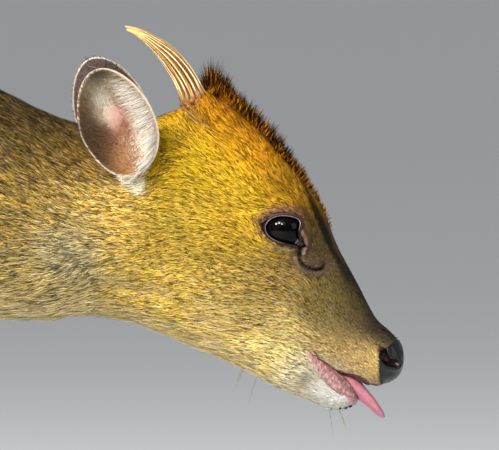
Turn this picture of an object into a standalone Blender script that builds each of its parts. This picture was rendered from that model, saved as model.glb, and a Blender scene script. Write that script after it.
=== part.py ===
"""A standing buck muntjac, life size, with its head lowered and its tongue out.

Lengths here are millimetres. X runs forward to the nose, Y to the animal's left and Z up from the floor.
Each mesh is turned to metres as it is made, and the last step centres the animal over the origin.
"""

import math

import bmesh
import bpy
import numpy as np
from mathutils import Matrix, Vector
from mathutils.bvhtree import BVHTree

MM = 0.001
GAP = 0.3
RIGHT, LEFT = -1, 1
SIDE_NAMES = {RIGHT: "right", LEFT: "left"}

# Trunk and neck, from the nape to the buttocks. Each row is one upright section through the body:
# top x, top z, bottom x, bottom z, half width, squareness, and how much wider the top is than the middle.
TRUNK = (
    (-50, 418, -72, 318, 34, 2.2, -0.10),
    (-78, 415, -101, 307, 38, 2.2, -0.12),
    (-98, 419, -118, 306, 40, 2.2, -0.14),
    (-118, 427, -134, 306, 41, 2.2, -0.16),
    (-137, 437, -151, 306, 42, 2.1, -0.18),
    (-170, 452, -178, 301, 46, 2.1, -0.22),
    (-205, 463, -203, 290, 54, 2.1, -0.26),
    (-250, 470, -240, 274, 62, 2.1, -0.26),
    (-300, 472, -290, 263, 68, 2.1, -0.20),
    (-370, 477, -365, 260, 74, 2.1, -0.12),
    (-440, 484, -440, 264, 77, 2.1, -0.08),
    (-510, 488, -515, 274, 74, 2.1, -0.08),
    (-575, 485, -580, 290, 68, 2.1, -0.10),
    (-635, 474, -640, 306, 60, 2.1, -0.12),
    (-682, 454, -688, 328, 48, 2.1, -0.12),
    (-708, 428, -712, 352, 32, 2.1, -0.10),
    (-718, 402, -719, 378, 12, 2.0, 0.0),
)
TRUNK_SIDES = 40

# Skull and upper jaw, from the tip of the nose pad back to the nape, in rows as for the trunk.
# As far back as the corner of the mouth the bottom of each row is the edge of the upper lip.
SKULL = (
    (87, 286, 86.5, 280, 3.5, 2.0, 0.0),
    (86, 291, 85, 275, 8.5, 2.2, 0.0),
    (83, 296, 81, 271.5, 12, 2.3, -0.04),
    (78, 301, 76.5, 269.5, 14, 2.4, -0.08),
    (72.5, 305.5, 70, 270, 15, 2.4, -0.14),
    (67.5, 314, 62.5, 273.5, 16, 2.4, -0.20),
    (61, 327, 52, 278, 17.5, 2.3, -0.26),
    (55, 338, 42, 281.5, 20, 2.3, -0.26),
    (49, 350, 31, 286, 23, 2.3, -0.22),
    (44, 364, 17, 284, 27, 2.3, -0.10),
    (38, 377, 1, 283, 31, 2.2, 0.02),
    (29, 391, -14, 286.5, 34.5, 2.2, 0.06),
    (20, 404, -27, 292, 36, 2.2, 0.04),
    (9, 417, -40, 298, 35.5, 2.2, 0.0),
    (-4, 428, -50, 302, 34, 2.2, -0.06),
    (-17, 433, -60, 305, 33, 2.2, -0.08),
    (-34, 427, -71, 307, 33.5, 2.2, -0.08),
    (-50, 421, -83, 308, 35, 2.2, -0.10),
    (-64, 416, -94, 308, 36, 2.2, -0.10),
    (-90, 413, -112, 309, 36, 2.2, -0.12),
)
# Lower jaw and throat, from the chin back into the neck, in rows as for the trunk.
JAW = (
    (60, 262, 59, 258, 3, 2.0, 0.0),
    (58, 265, 54.5, 255, 8, 2.2, 0.0),
    (53, 268.5, 47, 254, 10.5, 2.3, 0.05),
    (46, 274, 38, 257, 12.5, 2.3, 0.08),
    (40, 281, 28, 262, 15.5, 2.3, 0.10),
    (34, 290, 16, 268, 19, 2.3, 0.10),
    (25, 300, 1, 277, 21.5, 2.2, 0.10),
    (12, 310, -14, 285, 23, 2.2, 0.08),
    (-4, 320, -30, 292, 24, 2.2, 0.05),
    (-18, 330, -46, 299, 25, 2.2, 0.0),
    (-35, 335, -62, 305, 26, 2.2, 0.0),
    (-55, 340, -78, 307.5, 27, 2.2, 0.0),
    (-75, 345, -95, 312, 24, 2.2, 0.0),
)
HEAD_SIDES = 36

# Limbs from the trunk down: x, z, half depth fore and aft, half width.
FORELEG = (
    (-252, 365, 42, 24),
    (-262, 318, 36, 23),
    (-270, 284, 27, 19),
    (-269, 250, 20, 16),
    (-265, 200, 14, 12.5),
    (-262, 168, 12.5, 11.5),
    (-260, 150, 14, 13),
    (-261, 130, 11, 10.5),
    (-262, 95, 9, 8.5),
    (-262, 62, 9.2, 8.8),
    (-261, 43, 12, 11.5),
    (-255, 29, 10, 11),
    (-249, 18, 12.5, 12.5),
    (-247, 8, 12, 12),
)
HINDLEG = (
    (-645, 385, 62, 27),
    (-626, 338, 54, 28),
    (-604, 300, 39, 24),
    (-634, 258, 25, 17.5),
    (-664, 223, 16.5, 12.5),
    (-685, 197, 17.5, 12.5),
    (-686, 172, 13, 10.5),
    (-682, 122, 9.8, 9),
    (-680, 76, 9.8, 9),
    (-677, 45, 12.5, 11.5),
    (-670, 29, 10, 11),
    (-663, 18, 12.5, 12.5),
    (-661, 8, 12, 12),
)
LIMB_SIDES = 20
FORELEG_Y, HINDLEG_Y = 46, 48
FOOT_Y = 41
# How far each foot stands forward of its limb's rows, at the floor.
FORE_STEP = {RIGHT: 26, LEFT: -24}
HIND_STEP = {RIGHT: -22, LEFT: 34}
STEP_TOP = 300

# Where the body is parted. The seams are planes that lean with the neck.
HEAD_SEAM = ((-80, 417), (-100, 307))
NECK_SEAM = ((-232, 470), (-196, 290))
FORELEG_CUT, HINDLEG_CUT = 254, 272
FORELEG_ZONE, HINDLEG_ZONE = (-345, -180), (-780, -545)
HOOF_TOP = 19

# Hooves and dewclaws.
HOOF_LENGTH, CLAW_WIDTH, CLEFT = 31, 11.6, 1.2
# Height, width's share, and how far the toe and the heel draw in.
CLAW_LEVELS = ((0, 0.97, -1, 0), (2.5, 1.0, 0, 0), (11, 0.93, -4, -1), (HOOF_TOP, 0.8, -9, -3.5))
DEWCLAW_HEIGHT, DEWCLAW_SIZE = 37, (4.2, 3.4, 5.6)

# Tail, hanging: x, z, half depth, half width.
TAIL = (
    (-696, 440, 13, 14),
    (-718, 424, 12.5, 17),
    (-731, 400, 11, 19.5),
    (-737, 370, 10, 20),
    (-740, 342, 8.5, 17),
    (-740, 320, 6, 11.5),
    (-739, 308, 2.5, 5),
)

# Face.
EYE_AT, EYE_Y, EYE_RADIUS = (18.2, 358.4), 25.5, 11.6
LID_LENGTH, LID_HEIGHT, LID_TILT, LID_THICK = 10.6, 8.3, math.radians(-24), 2.2
EAR_CENTRE, EAR_TIP_WAY = (-75, 49.5, 419), (-0.37, 0.26, 0.92)
EAR_FACE_WAY = (0.12, 0.98, -0.2)
EAR_HALF_LENGTH, EAR_HALF_WIDTH, EAR_DEPTH, EAR_THICK = 32, 21, 12, 2.2
EAR_ROOT = ((-72, 27.5, 411, 6, 6), (-68, 25.5, 400, 9, 8.5), (-60, 18, 388, 11, 9))
ANTLER_LINE = ((-29.5, 23, 428), (-36, 24, 441), (-44.5, 25.5, 453), (-54, 26, 461.5), (-62, 25, 466.5), (-69, 23, 469.5))
ANTLER_RADII = (7.6, 6.9, 5.4, 3.6, 2.1, 0.6)
PEDICLE = (
    (33, 14, 358, 7),
    (26, 14.5, 374, 9),
    (14, 15.5, 389, 10.5),
    (-1, 17.5, 404, 11),
    (-15, 20, 416, 10.5),
    (-29, 22.5, 428, 9.6),
)
TONGUE = (
    (36, 286, 1.6, 4.5),
    (44, 280, 3.2, 7),
    (53, 272.5, 4.5, 7.8),
    (61.5, 264.8, 4.6, 7.6),
    (68.5, 258, 4.0, 6.4),
    (73.5, 252.5, 2.6, 4.6),
    (75.5, 250.3, 1.0, 2.0),
)
NOSTRIL = ((72.5, 292), (75, 287.5), (79, 284.5), (83, 284))
GLAND_SLIT = ((30.5, 348), (29.3, 341.5), (31.5, 336), (36, 333.4), (41, 332.6))
MOUTH_LINE = ((32.5, 291), (36, 286.5), (42, 281.5), (48, 279))

# Locks of longer hair: the tuft that stands on the crown, and the fringe of the tail.
CROWN_FROM, CROWN_TO, CROWN_ROWS = (-28, 431), (25, 397), 9
CROWN_LONG, CROWN_SHORT, CROWN_BEND = 14, 8, 3.5
TAIL_FRINGE, TAIL_LOCK = 6, 24

COLOURS = {
    "coat": ((0.42, 0.27, 0.09), 0.85),
    "ear": ((0.45, 0.32, 0.2), 0.8),
    "horn": ((0.72, 0.58, 0.38), 0.45),
    "eye": ((0.02, 0.015, 0.012), 0.08),
    "tongue": ((0.72, 0.36, 0.38), 0.35),
    "hoof": ((0.05, 0.045, 0.04), 0.5),
    "tail": ((0.45, 0.22, 0.08), 0.85),
}


def clear_scene():
    for obj in list(bpy.data.objects):
        bpy.data.objects.remove(obj)


def new_object(name, mesh):
    obj = bpy.data.objects.new(name, mesh)
    bpy.context.scene.collection.objects.link(obj)
    return obj


def from_bmesh(name, bm):
    mesh = bpy.data.meshes.new(name)
    bm.to_mesh(mesh)
    bm.free()
    return new_object(name, mesh)


def apply_modifiers(obj):
    graph = bpy.context.evaluated_depsgraph_get()
    mesh = bpy.data.meshes.new_from_object(obj.evaluated_get(graph))
    obj.modifiers.clear()
    old = obj.data
    obj.data = mesh
    bpy.data.meshes.remove(old)


def smooth_rows(rows, steps):
    """The rows with a Catmull-Rom curve run through each of their columns."""
    rows = np.array(rows, float)
    ends = np.vstack([2 * rows[0] - rows[1], rows, 2 * rows[-1] - rows[-2]])
    made = []
    for i in range(len(rows) - 1):
        a, b, c, d = ends[i : i + 4]
        for t in np.arange(steps) / steps:
            made.append(
                0.5 * (2 * b + (c - a) * t + (2 * a - 5 * b + 4 * c - d) * t**2 + (3 * b - a - 3 * c + d) * t**3)
            )
    made.append(rows[-1])
    return made


def loft(name, rings):
    """A closed skin over rings of points, bridged one to the next and capped at both ends."""
    bm = bmesh.new()
    edges = []
    loops = []
    for ring in rings:
        verts = [bm.verts.new(Vector(p) * MM) for p in ring]
        loops.append(verts)
        edges.append([bm.edges.new((verts[i - 1], verts[i])) for i in range(len(verts))])
    for first, second in zip(edges, edges[1:]):
        bmesh.ops.bridge_loops(bm, edges=first + second)
    for verts in (loops[0], loops[-1]):
        bm.faces.new(verts)
    bmesh.ops.recalc_face_normals(bm, faces=bm.faces)
    return from_bmesh(name, bm)


def upright_ring(row, sides):
    """A section that stands on the line from its bottom to its top, alike on both sides of the body."""
    top_x, top_z, bottom_x, bottom_z, half_width, square, top_spread = row
    ring = []
    for k in range(sides):
        angle = math.tau * k / sides
        across = math.copysign(abs(math.cos(angle)) ** (2 / square), math.cos(angle))
        up = math.copysign(abs(math.sin(angle)) ** (2 / square), math.sin(angle))
        share = (1 + up) / 2
        x = bottom_x + (top_x - bottom_x) * share
        z = bottom_z + (top_z - bottom_z) * share
        ring.append((x, half_width * across * (1 + top_spread * up), z))
    return ring


def body_loft(name, rows, sides, steps=3):
    return loft(name, [upright_ring(row, sides) for row in smooth_rows(rows, steps)])


def limb_rings(rows, sides, steps=3):
    """Rings square to a path. Each row is x, y, z, half depth and half width."""
    rows = smooth_rows(rows, steps)
    rings = []
    for i, row in enumerate(rows):
        before, after = rows[max(i - 1, 0)], rows[min(i + 1, len(rows) - 1)]
        way = Vector(after[:3]) - Vector(before[:3])
        fore = way.cross(Vector((0, 1, 0))).normalized()
        side = way.cross(fore).normalized()
        ring = []
        for k in range(sides):
            angle = math.tau * k / sides
            ring.append(Vector(row[:3]) + fore * row[3] * math.cos(angle) + side * row[4] * math.sin(angle))
        rings.append(ring)
    return rings


def ball(name, centre, radii, turn=0.0, detail=3):
    """An ellipsoid, turned about Y."""
    bm = bmesh.new()
    bmesh.ops.create_icosphere(bm, subdivisions=detail, radius=MM)
    place = Matrix.Translation(Vector(centre) * MM) @ Matrix.Rotation(turn, 4, "Y")
    bmesh.ops.transform(bm, matrix=place @ Matrix.Diagonal((*radii, 1)), verts=bm.verts)
    return from_bmesh(name, bm)


def box(name, low, high):
    bm = bmesh.new()
    bmesh.ops.create_cube(bm, size=1)
    centre = (Vector(low) + Vector(high)) / 2 * MM
    size = (Vector(high) - Vector(low)) * MM
    bmesh.ops.transform(bm, matrix=Matrix.Translation(centre) @ Matrix.Diagonal((*size, 1)), verts=bm.verts)
    return from_bmesh(name, bm)


def rope(name, points, radius, closed=False, sides=6):
    """A round tube through points, from a curve with a bevel."""
    curve = bpy.data.curves.new(name, "CURVE")
    curve.dimensions = "3D"
    curve.bevel_depth = radius * MM
    curve.bevel_resolution = (sides - 4) // 2
    curve.use_fill_caps = True
    spline = curve.splines.new("POLY")
    spline.points.add(len(points) - 1)
    for point, place in zip(spline.points, points):
        point.co = (*(Vector(place) * MM), 1)
    spline.use_cyclic_u = closed
    drawn = new_object(name + "_line", curve)
    graph = bpy.context.evaluated_depsgraph_get()
    mesh = bpy.data.meshes.new_from_object(drawn.evaluated_get(graph))
    bpy.data.objects.remove(drawn)
    bm = bmesh.new()
    bm.from_mesh(mesh)
    bmesh.ops.remove_doubles(bm, verts=bm.verts, dist=0.01 * MM)
    bmesh.ops.recalc_face_normals(bm, faces=bm.faces)
    return from_bmesh(name, bm)


def copy_of(obj, name):
    return new_object(name, obj.data.copy())


def grown(obj, name, by=GAP):
    """A copy whose surface stands out from the first by the gap that touching nodes keep."""
    other = copy_of(obj, name)
    bm = bmesh.new()
    bm.from_mesh(other.data)
    bm.normal_update()
    pushes = [vert.normal * vert.calc_shell_factor() * by * MM for vert in bm.verts]
    for vert, push in zip(bm.verts, pushes):
        vert.co += push if push.length < 4 * by * MM else push.normalized() * 4 * by * MM
    bm.to_mesh(other.data)
    bm.free()
    return other


def boolean(obj, tool, operation):
    """Cuts obj by tool, joins it or keeps what they share, and removes the tool."""
    modifier = obj.modifiers.new("cut", "BOOLEAN")
    modifier.operation = operation
    modifier.solver = "EXACT"
    modifier.object = tool
    apply_modifiers(obj)
    bpy.data.objects.remove(tool)
    return obj


def union_all(obj, tools):
    """Joins many closed shapes to obj in one step."""
    group = bpy.data.collections.new("joined")
    bpy.context.scene.collection.children.link(group)
    for tool in tools:
        bpy.context.scene.collection.objects.unlink(tool)
        group.objects.link(tool)
    modifier = obj.modifiers.new("join", "BOOLEAN")
    modifier.operation = "UNION"
    modifier.solver = "EXACT"
    modifier.operand_type = "COLLECTION"
    modifier.collection = group
    apply_modifiers(obj)
    for tool in tools:
        bpy.data.objects.remove(tool)
    bpy.data.collections.remove(group)
    return obj


def keep_largest(obj):
    """Drops every closed surface of obj but the largest."""
    bm = bmesh.new()
    bm.from_mesh(obj.data)
    bm.verts.ensure_lookup_table()
    unseen = set(bm.verts)
    groups = []
    while unseen:
        seed = unseen.pop()
        group, front = {seed}, [seed]
        while front:
            for edge in front.pop().link_edges:
                for vert in edge.verts:
                    if vert in unseen:
                        unseen.discard(vert)
                        group.add(vert)
                        front.append(vert)
        groups.append(group)
    largest = max(groups, key=len)
    spare = [vert for group in groups if group is not largest for vert in group]
    bmesh.ops.delete(bm, geom=spare, context="VERTS")
    bm.to_mesh(obj.data)
    bm.free()
    return obj


def tidy_mesh(obj, within=0.02):
    """Merges corners that a cut left closer than a hair, then leaves plain triangles."""
    bm = bmesh.new()
    bm.from_mesh(obj.data)
    bmesh.ops.remove_doubles(bm, verts=bm.verts, dist=within * MM)
    bmesh.ops.dissolve_degenerate(bm, edges=bm.edges, dist=within * MM)
    bmesh.ops.triangulate(bm, faces=bm.faces)
    bm.to_mesh(obj.data)
    bm.free()
    return keep_largest(obj)


def turn_over(obj):
    """Mirrors a mesh to the other side of the animal."""
    for vert in obj.data.vertices:
        vert.co.y = -vert.co.y
    obj.data.flip_normals()


def seam_plane(seam):
    """A point of the seam and its normal, which faces forward."""
    (top_x, top_z), (bottom_x, bottom_z) = seam
    normal = Vector((top_z - bottom_z, 0, bottom_x - top_x)).normalized()
    return Vector(((top_x + bottom_x) / 2, 0, (top_z + bottom_z) / 2)), normal


def part_at(obj, seam, keep_front, shift=0.0):
    """Cuts obj flat at a seam, moved forward by shift, and closes the cut."""
    point, normal = seam_plane(seam)
    bm = bmesh.new()
    bm.from_mesh(obj.data)
    cut = bmesh.ops.bisect_plane(
        bm,
        geom=bm.verts[:] + bm.edges[:] + bm.faces[:],
        dist=0.001 * MM,
        plane_co=(point + normal * shift) * MM,
        plane_no=normal,
        clear_inner=keep_front,
        clear_outer=not keep_front,
    )
    rim = [item for item in cut["geom_cut"] if isinstance(item, bmesh.types.BMEdge)]
    bmesh.ops.holes_fill(bm, edges=rim, sides=0)
    bmesh.ops.recalc_face_normals(bm, faces=bm.faces)
    bm.to_mesh(obj.data)
    bm.free()
    return obj


def stepped(rows, y_top, step):
    """A limb's rows with its y, brought in towards the foot, and its foot moved forward by step."""
    made = []
    for x, z, depth, width in rows:
        down = min(max((STEP_TOP - z) / STEP_TOP, 0.0), 1.0)
        made.append((x + step * down, y_top + (FOOT_Y - y_top) * down, z, depth, width))
    return made


def mirrored(rows, side):
    return [(x, y * side, *rest) for x, y, *rest in rows]


def limbs():
    """All four limbs, as rows in place: name, side, and rows."""
    for side in (RIGHT, LEFT):
        fore = mirrored(stepped(FORELEG, FORELEG_Y, FORE_STEP[side]), side)
        hind = mirrored(stepped(HINDLEG, HINDLEG_Y, HIND_STEP[side]), side)
        yield "foreleg_" + SIDE_NAMES[side], side, fore
        yield "hindleg_" + SIDE_NAMES[side], side, hind


def muscle_masses():
    """Rounded masses that the flesh is drawn over: shoulders, haunches, cheeks, brows and pedicles."""
    masses = []
    for side in (RIGHT, LEFT):
        masses += [
            ball("shoulder_blade", (-262, 40 * side, 374), (44, 21, 60), math.radians(18)),
            ball("upper_arm", (-240, 44 * side, 330), (40, 21, 38), math.radians(-30)),
            ball("haunch", (-648, 35 * side, 388), (62, 29, 64), math.radians(-25)),
            ball("thigh", (-628, 42 * side, 345), (56, 27, 58), math.radians(20)),
            ball("cheek", (-14, 22 * side, 331), (32, 12.5, 23), math.radians(25)),
            ball("brow", (17, 24 * side, 361), (20, 11, 16), math.radians(40)),
            ball("lid_cap", (EYE_AT[0], EYE_Y * side, EYE_AT[1]), (EYE_RADIUS + LID_THICK,) * 3),
            ball("ear_root", (-62, 25 * side, 392), (17, 12, 18), math.radians(10)),
        ]
        pedicle = [(x, y * side, z, r, r) for x, y, z, r in PEDICLE]
        masses.append(loft("pedicle", limb_rings(pedicle, 16)))
    return masses


def flesh(voxel, rounds, trunk_rounds):
    """The whole fleshy body as one smooth closed skin, drawn over the lofts, limbs and masses."""
    pieces = [
        body_loft("trunk", TRUNK, TRUNK_SIDES),
        body_loft("skull", SKULL, HEAD_SIDES),
        body_loft("jaw", JAW, HEAD_SIDES),
    ]
    pieces += [loft(name, limb_rings(rows, LIMB_SIDES)) for name, _, rows in limbs()]
    pieces += muscle_masses()
    bm = bmesh.new()
    for piece in pieces:
        bm.from_mesh(piece.data)
        bpy.data.objects.remove(piece)
    body = from_bmesh("flesh", bm)
    remesh = body.modifiers.new("skin", "REMESH")
    remesh.mode = "VOXEL"
    remesh.voxel_size = voxel * MM
    apply_modifiers(body)
    trunk = body.vertex_groups.new(name="trunk")
    for vert in body.data.vertices:
        x, _, z = vert.co / MM
        deep = min(max((z - FORELEG_CUT - 10) / 30, 0), 1) * min(max((-120 - x) / 40, 0), 1)
        trunk.add([vert.index], deep, "REPLACE")
    for name, iterations, group in (("soften", rounds, ""), ("blend", trunk_rounds, "trunk")):
        soften = body.modifiers.new(name, "SMOOTH")
        soften.factor = 0.5
        soften.iterations = iterations
        soften.vertex_group = group
    apply_modifiers(body)
    return keep_largest(body)


def thinned(obj, triangles):
    """Collapses obj's triangles to about that many."""
    decimate = obj.modifiers.new("thin", "DECIMATE")
    decimate.ratio = triangles / sum(len(face.vertices) - 2 for face in obj.data.polygons)
    decimate.use_collapse_triangulate = True
    apply_modifiers(obj)
    return obj


def skin_point(tree, x, z, side, depth=0.0):
    """The skin's nearest point to a place beside the head, and depth below it."""
    start = Vector((x, 300 * side, z)) * MM
    hit = tree.ray_cast(start, Vector((0, -side, 0)))[0]
    hit = hit or tree.find_nearest(Vector((x, 14 * side, z)) * MM)[0]
    return Vector((x, hit.y / MM - side * depth, z))


def skin_tree(obj):
    bm = bmesh.new()
    bm.from_mesh(obj.data)
    tree = BVHTree.FromBMesh(bm)
    bm.free()
    return tree


def lid_opening(side):
    """An almond prism that parts the lids, from the middle of the eye outwards."""
    loops = []
    for out in (0, 30):
        loop = []
        for k in range(20):
            angle = math.tau * k / 20
            along = LID_LENGTH * math.cos(angle)
            up = LID_HEIGHT * math.sin(angle) * abs(math.sin(angle)) ** 0.2 * (1 - 0.15 * math.cos(angle))
            x = along * math.cos(LID_TILT) - up * math.sin(LID_TILT)
            z = along * math.sin(LID_TILT) + up * math.cos(LID_TILT)
            loop.append((EYE_AT[0] + x, side * (EYE_Y + out), EYE_AT[1] + z))
        loops.append(loop)
    return loft("lid_opening", loops)


def eye_ball(name, side, radius):
    return ball(name, (EYE_AT[0], EYE_Y * side, EYE_AT[1]), (radius,) * 3)


def tongue_shape(name, grow=0.0):
    rows = [(x, 0, z, thick + grow, wide + grow) for x, z, thick, wide in TONGUE]
    return loft(name, limb_rings(rows, 12, 2))


def lock(root, way, flat_way, length, width, thick, bend=0.0):
    """A flat lock of hair that tapers to its tip and bends back, set a little below the skin."""
    way = Vector(way).normalized()
    flat = (Vector(flat_way) - way * way.dot(Vector(flat_way))).normalized()
    deep = way.cross(flat)
    rings = []
    for along, share in ((-3, 0.8), (length * 0.4, 1.0), (length * 0.78, 0.6), (length, 0.14)):
        centre = Vector(root) + way * along - Vector((bend * (along / length) ** 2, 0, 0))
        rings.append([centre + flat * a * width / 2 * share + deep * b * thick / 2 * share
                      for a, b in ((1, 0), (0, 1), (-1, 0), (0, -1))])
    return loft("lock", rings)


def crown_tuft(tree):
    """Overlapping locks that stand up between the pedicles and down the forehead, shorter to the brow."""
    locks = []
    for i in range(CROWN_ROWS):
        share = i / (CROWN_ROWS - 1)
        x = CROWN_FROM[0] + (CROWN_TO[0] - CROWN_FROM[0]) * share
        z = CROWN_FROM[1] + (CROWN_TO[1] - CROWN_FROM[1]) * share
        for y in ((-4.5, 4.5) if i % 2 else (-9, 0, 9)):
            spread = y * (1 - 0.35 * share)
            place = tree.find_nearest(Vector((x, spread, z)) * MM)[0] / MM
            length = CROWN_LONG + (CROWN_SHORT - CROWN_LONG) * share
            length *= 1 - 0.12 * abs(y) / 9 + 0.08 * (-1) ** (i // 2)
            way = (0.2 + 0.12 * share, y * 0.022, 1)
            locks.append(lock(place, way, (1, 0.05 * y, 0), length, 7.5, 2.6, CROWN_BEND))
    return locks


def build_head(fine):
    """Head with its jaw: lids, tear gland slits, nostrils, the line of the mouth and room for the tongue."""
    head = copy_of(fine, "head")
    part_at(head, HEAD_SEAM, True, shift=-12)
    thinned(head, 3200)
    part_at(head, HEAD_SEAM, True, shift=GAP / 2)
    tree = skin_tree(head)
    for side in (RIGHT, LEFT):
        slit = [skin_point(tree, x, z, side, 0.2) for x, z in GLAND_SLIT]
        line = [skin_point(tree, x, z, side, 0.1) for x, z in MOUTH_LINE]
        nose = [skin_point(tree, x, z, side, 0.3) for x, z in NOSTRIL]
        boolean(head, lid_opening(side), "DIFFERENCE")
        boolean(head, eye_ball("socket", side, EYE_RADIUS + 1.15 * GAP), "DIFFERENCE")
        boolean(head, rope("slit", slit, 1.0), "DIFFERENCE")
        boolean(head, rope("mouth_line", line, 0.8), "DIFFERENCE")
        boolean(head, rope("nostril", nose, 1.9), "DIFFERENCE")
    boolean(head, tongue_shape("mouth_room", GAP), "DIFFERENCE")
    union_all(head, crown_tuft(tree))
    return tidy_mesh(head)


def build_body(coarse):
    """Neck, trunk and the four limbs, parted from one skin."""
    body = thinned(copy_of(coarse, "body"), 5000)
    neck = part_at(copy_of(body, "neck"), HEAD_SEAM, False, shift=-GAP / 2)
    part_at(neck, NECK_SEAM, True, shift=GAP / 2)
    torso = part_at(copy_of(body, "torso"), NECK_SEAM, False, shift=-GAP / 2)
    nodes = [tidy_mesh(neck)]
    for name, side, _ in limbs():
        front = name.startswith("foreleg")
        low_x, high_x = FORELEG_ZONE if front else HINDLEG_ZONE
        cut = FORELEG_CUT if front else HINDLEG_CUT
        low_y, high_y = sorted((0, 150 * side))
        leg = copy_of(body, name)
        boolean(leg, box("zone", (low_x, low_y, HOOF_TOP + GAP), (high_x, high_y, cut)), "INTERSECT")
        nodes.append(tidy_mesh(leg))
        boolean(torso, box("zone", (low_x, low_y - 1, -50), (high_x, high_y + 1, cut + GAP)), "DIFFERENCE")
    nodes.append(tidy_mesh(torso))
    bpy.data.objects.remove(body)
    return nodes


def build_tail(torso):
    """The hanging tail, cut to the rump that it grows from."""
    rows = [(x, 0, z, depth, width) for x, z, depth, width in TAIL]
    tail = loft("tail", limb_rings(rows, 14, 1))
    fringe = []
    for i in range(TAIL_FRINGE):
        row = rows[2] if i < 2 else rows[3] if i < 4 else rows[5]
        side = RIGHT if i % 2 else LEFT
        root = (row[0], row[4] * side * 0.8, row[2])
        fringe.append(lock(root, (-0.12, 0.34 * side, -1), (0, 1, 0), TAIL_LOCK, 9, 5))
    fringe.append(lock((TAIL[-1][0], 0, TAIL[-1][1] + 6), (0, 0, -1), (0, 1, 0), TAIL_LOCK, 11, 5))
    union_all(tail, fringe)
    boolean(tail, grown(torso, "rump"), "DIFFERENCE")
    return tidy_mesh(tail)


def build_ear(side, head):
    """A cupped ear on a short root, cut to the side of the head."""
    long_way = Vector(EAR_TIP_WAY).normalized()
    out_way = Vector(EAR_FACE_WAY)
    out_way = (out_way - long_way * out_way.dot(long_way)).normalized()
    cross_way = out_way.cross(long_way).normalized()
    rings, segments = 6, 22
    bm = bmesh.new()

    def layer(grow, sink):
        made = []
        for i in range(1, rings + 1):
            share = i / rings
            loop = []
            for j in range(segments):
                angle = math.tau * j / segments
                along = EAR_HALF_LENGTH * math.cos(angle)
                across = EAR_HALF_WIDTH * math.sin(angle) * (1 - 0.13 * math.cos(angle))
                cup = EAR_DEPTH * (1 - share**2.2)
                reach = share * (1 + grow)
                place = long_way * (along * reach - 11 * (1 - share)) + cross_way * across * reach
                place -= out_way * (cup + sink * (1 - 0.45 * share))
                loop.append(bm.verts.new(place * MM))
            made.append(loop)
        pole = bm.verts.new((long_way * -11 - out_way * (EAR_DEPTH + sink)) * MM)
        return made, pole

    inner, inner_pole = layer(0.0, 0.0)
    outer, outer_pole = layer(0.035, EAR_THICK)
    for loops, pole, turn in ((inner, inner_pole, 1), (outer, outer_pole, -1)):
        for j in range(segments):
            k = (j + 1) % segments
            bm.faces.new((pole, loops[0][j], loops[0][k])[::turn])
            for near, far in zip(loops, loops[1:]):
                bm.faces.new((near[j], far[j], far[k], near[k])[::turn])
    for j in range(segments):
        k = (j + 1) % segments
        bm.faces.new((inner[-1][j], outer[-1][j], outer[-1][k], inner[-1][k]))
    bmesh.ops.recalc_face_normals(bm, faces=bm.faces)
    bmesh.ops.translate(bm, verts=bm.verts, vec=Vector(EAR_CENTRE) * MM)
    stalk = loft("root", limb_rings(EAR_ROOT, 12, 2))
    ear = from_bmesh("ear_" + SIDE_NAMES[side], bm)
    boolean(ear, stalk, "UNION")
    if side == RIGHT:
        turn_over(ear)
    boolean(ear, grown(head, "scalp"), "DIFFERENCE")
    return tidy_mesh(ear)


def build_antler(side, head):
    """A ridged spike that bends back from a pearled burr, cut to the top of its pedicle."""
    line = [(x, -y, z, r) for (x, y, z), r in zip(ANTLER_LINE, ANTLER_RADII)]
    rows = smooth_rows(line, 2)
    sides = 12
    rings = []
    for i, row in enumerate(rows):
        before, after = rows[max(i - 1, 0)], rows[min(i + 1, len(rows) - 1)]
        way = Vector(after[:3]) - Vector(before[:3])
        fore = way.cross(Vector((0, 1, 0))).normalized()
        across = way.cross(fore).normalized()
        fade = 1 - i / len(rows)
        ring = []
        for k in range(sides):
            angle = math.tau * k / sides
            radius = row[3] * (1 + 0.12 * fade * (-1) ** k)
            ring.append(Vector(row[:3]) + (fore * math.cos(angle) + across * math.sin(angle)) * radius)
        rings.append(ring)
    antler = loft("antler_" + SIDE_NAMES[side], rings)
    base = Vector((line[0][0], line[0][1], line[0][2]))
    way = (Vector(line[1][:3]) - base).normalized()
    fore = way.cross(Vector((0, 1, 0))).normalized()
    across = way.cross(fore).normalized()
    pearls = []
    for k in range(9):
        angle = math.tau * k / 9
        place = base + way * 2.5 + (fore * math.cos(angle) + across * math.sin(angle)) * 8.2
        pearls.append(ball("pearl", place, (2.7,) * 3, detail=1))
    union_all(antler, pearls)
    if side == LEFT:
        turn_over(antler)
    boolean(antler, grown(head, "pedicle_top"), "DIFFERENCE")
    return tidy_mesh(antler)


def build_foot(leg_name, side, foot_x, foot_y):
    """Two claws side by side, flat on the floor, and two dewclaws behind."""
    nodes = []
    for place, way in (("inner", -side), ("outer", side)):
        bm = bmesh.new()
        loops = []
        for height, reach, toe, heel in CLAW_LEVELS:
            half_length = (HOOF_LENGTH + toe + heel) / 2
            ring = []
            for k in range(14):
                angle = math.tau * k / 14
                along = math.cos(angle)
                # The claw narrows to its toe, and its inner wall is nearly straight.
                wide = math.sin(angle) * (1 - 0.45 * max(along, 0) ** 2)
                wide *= 0.62 if math.sin(angle) * way < 0 else 1.15
                x = foot_x + 6 + (toe - heel) / 2 + along * half_length
                y = foot_y + way * (CLEFT / 2 + CLAW_WIDTH * 0.36) + wide * CLAW_WIDTH / 2 * reach
                ring.append((x, y, height))
            loops.append(ring)
        hoof = loft(f"hoof_{leg_name}_{place}", loops)
        nodes.append(tidy_mesh(hoof))
    return nodes


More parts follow.
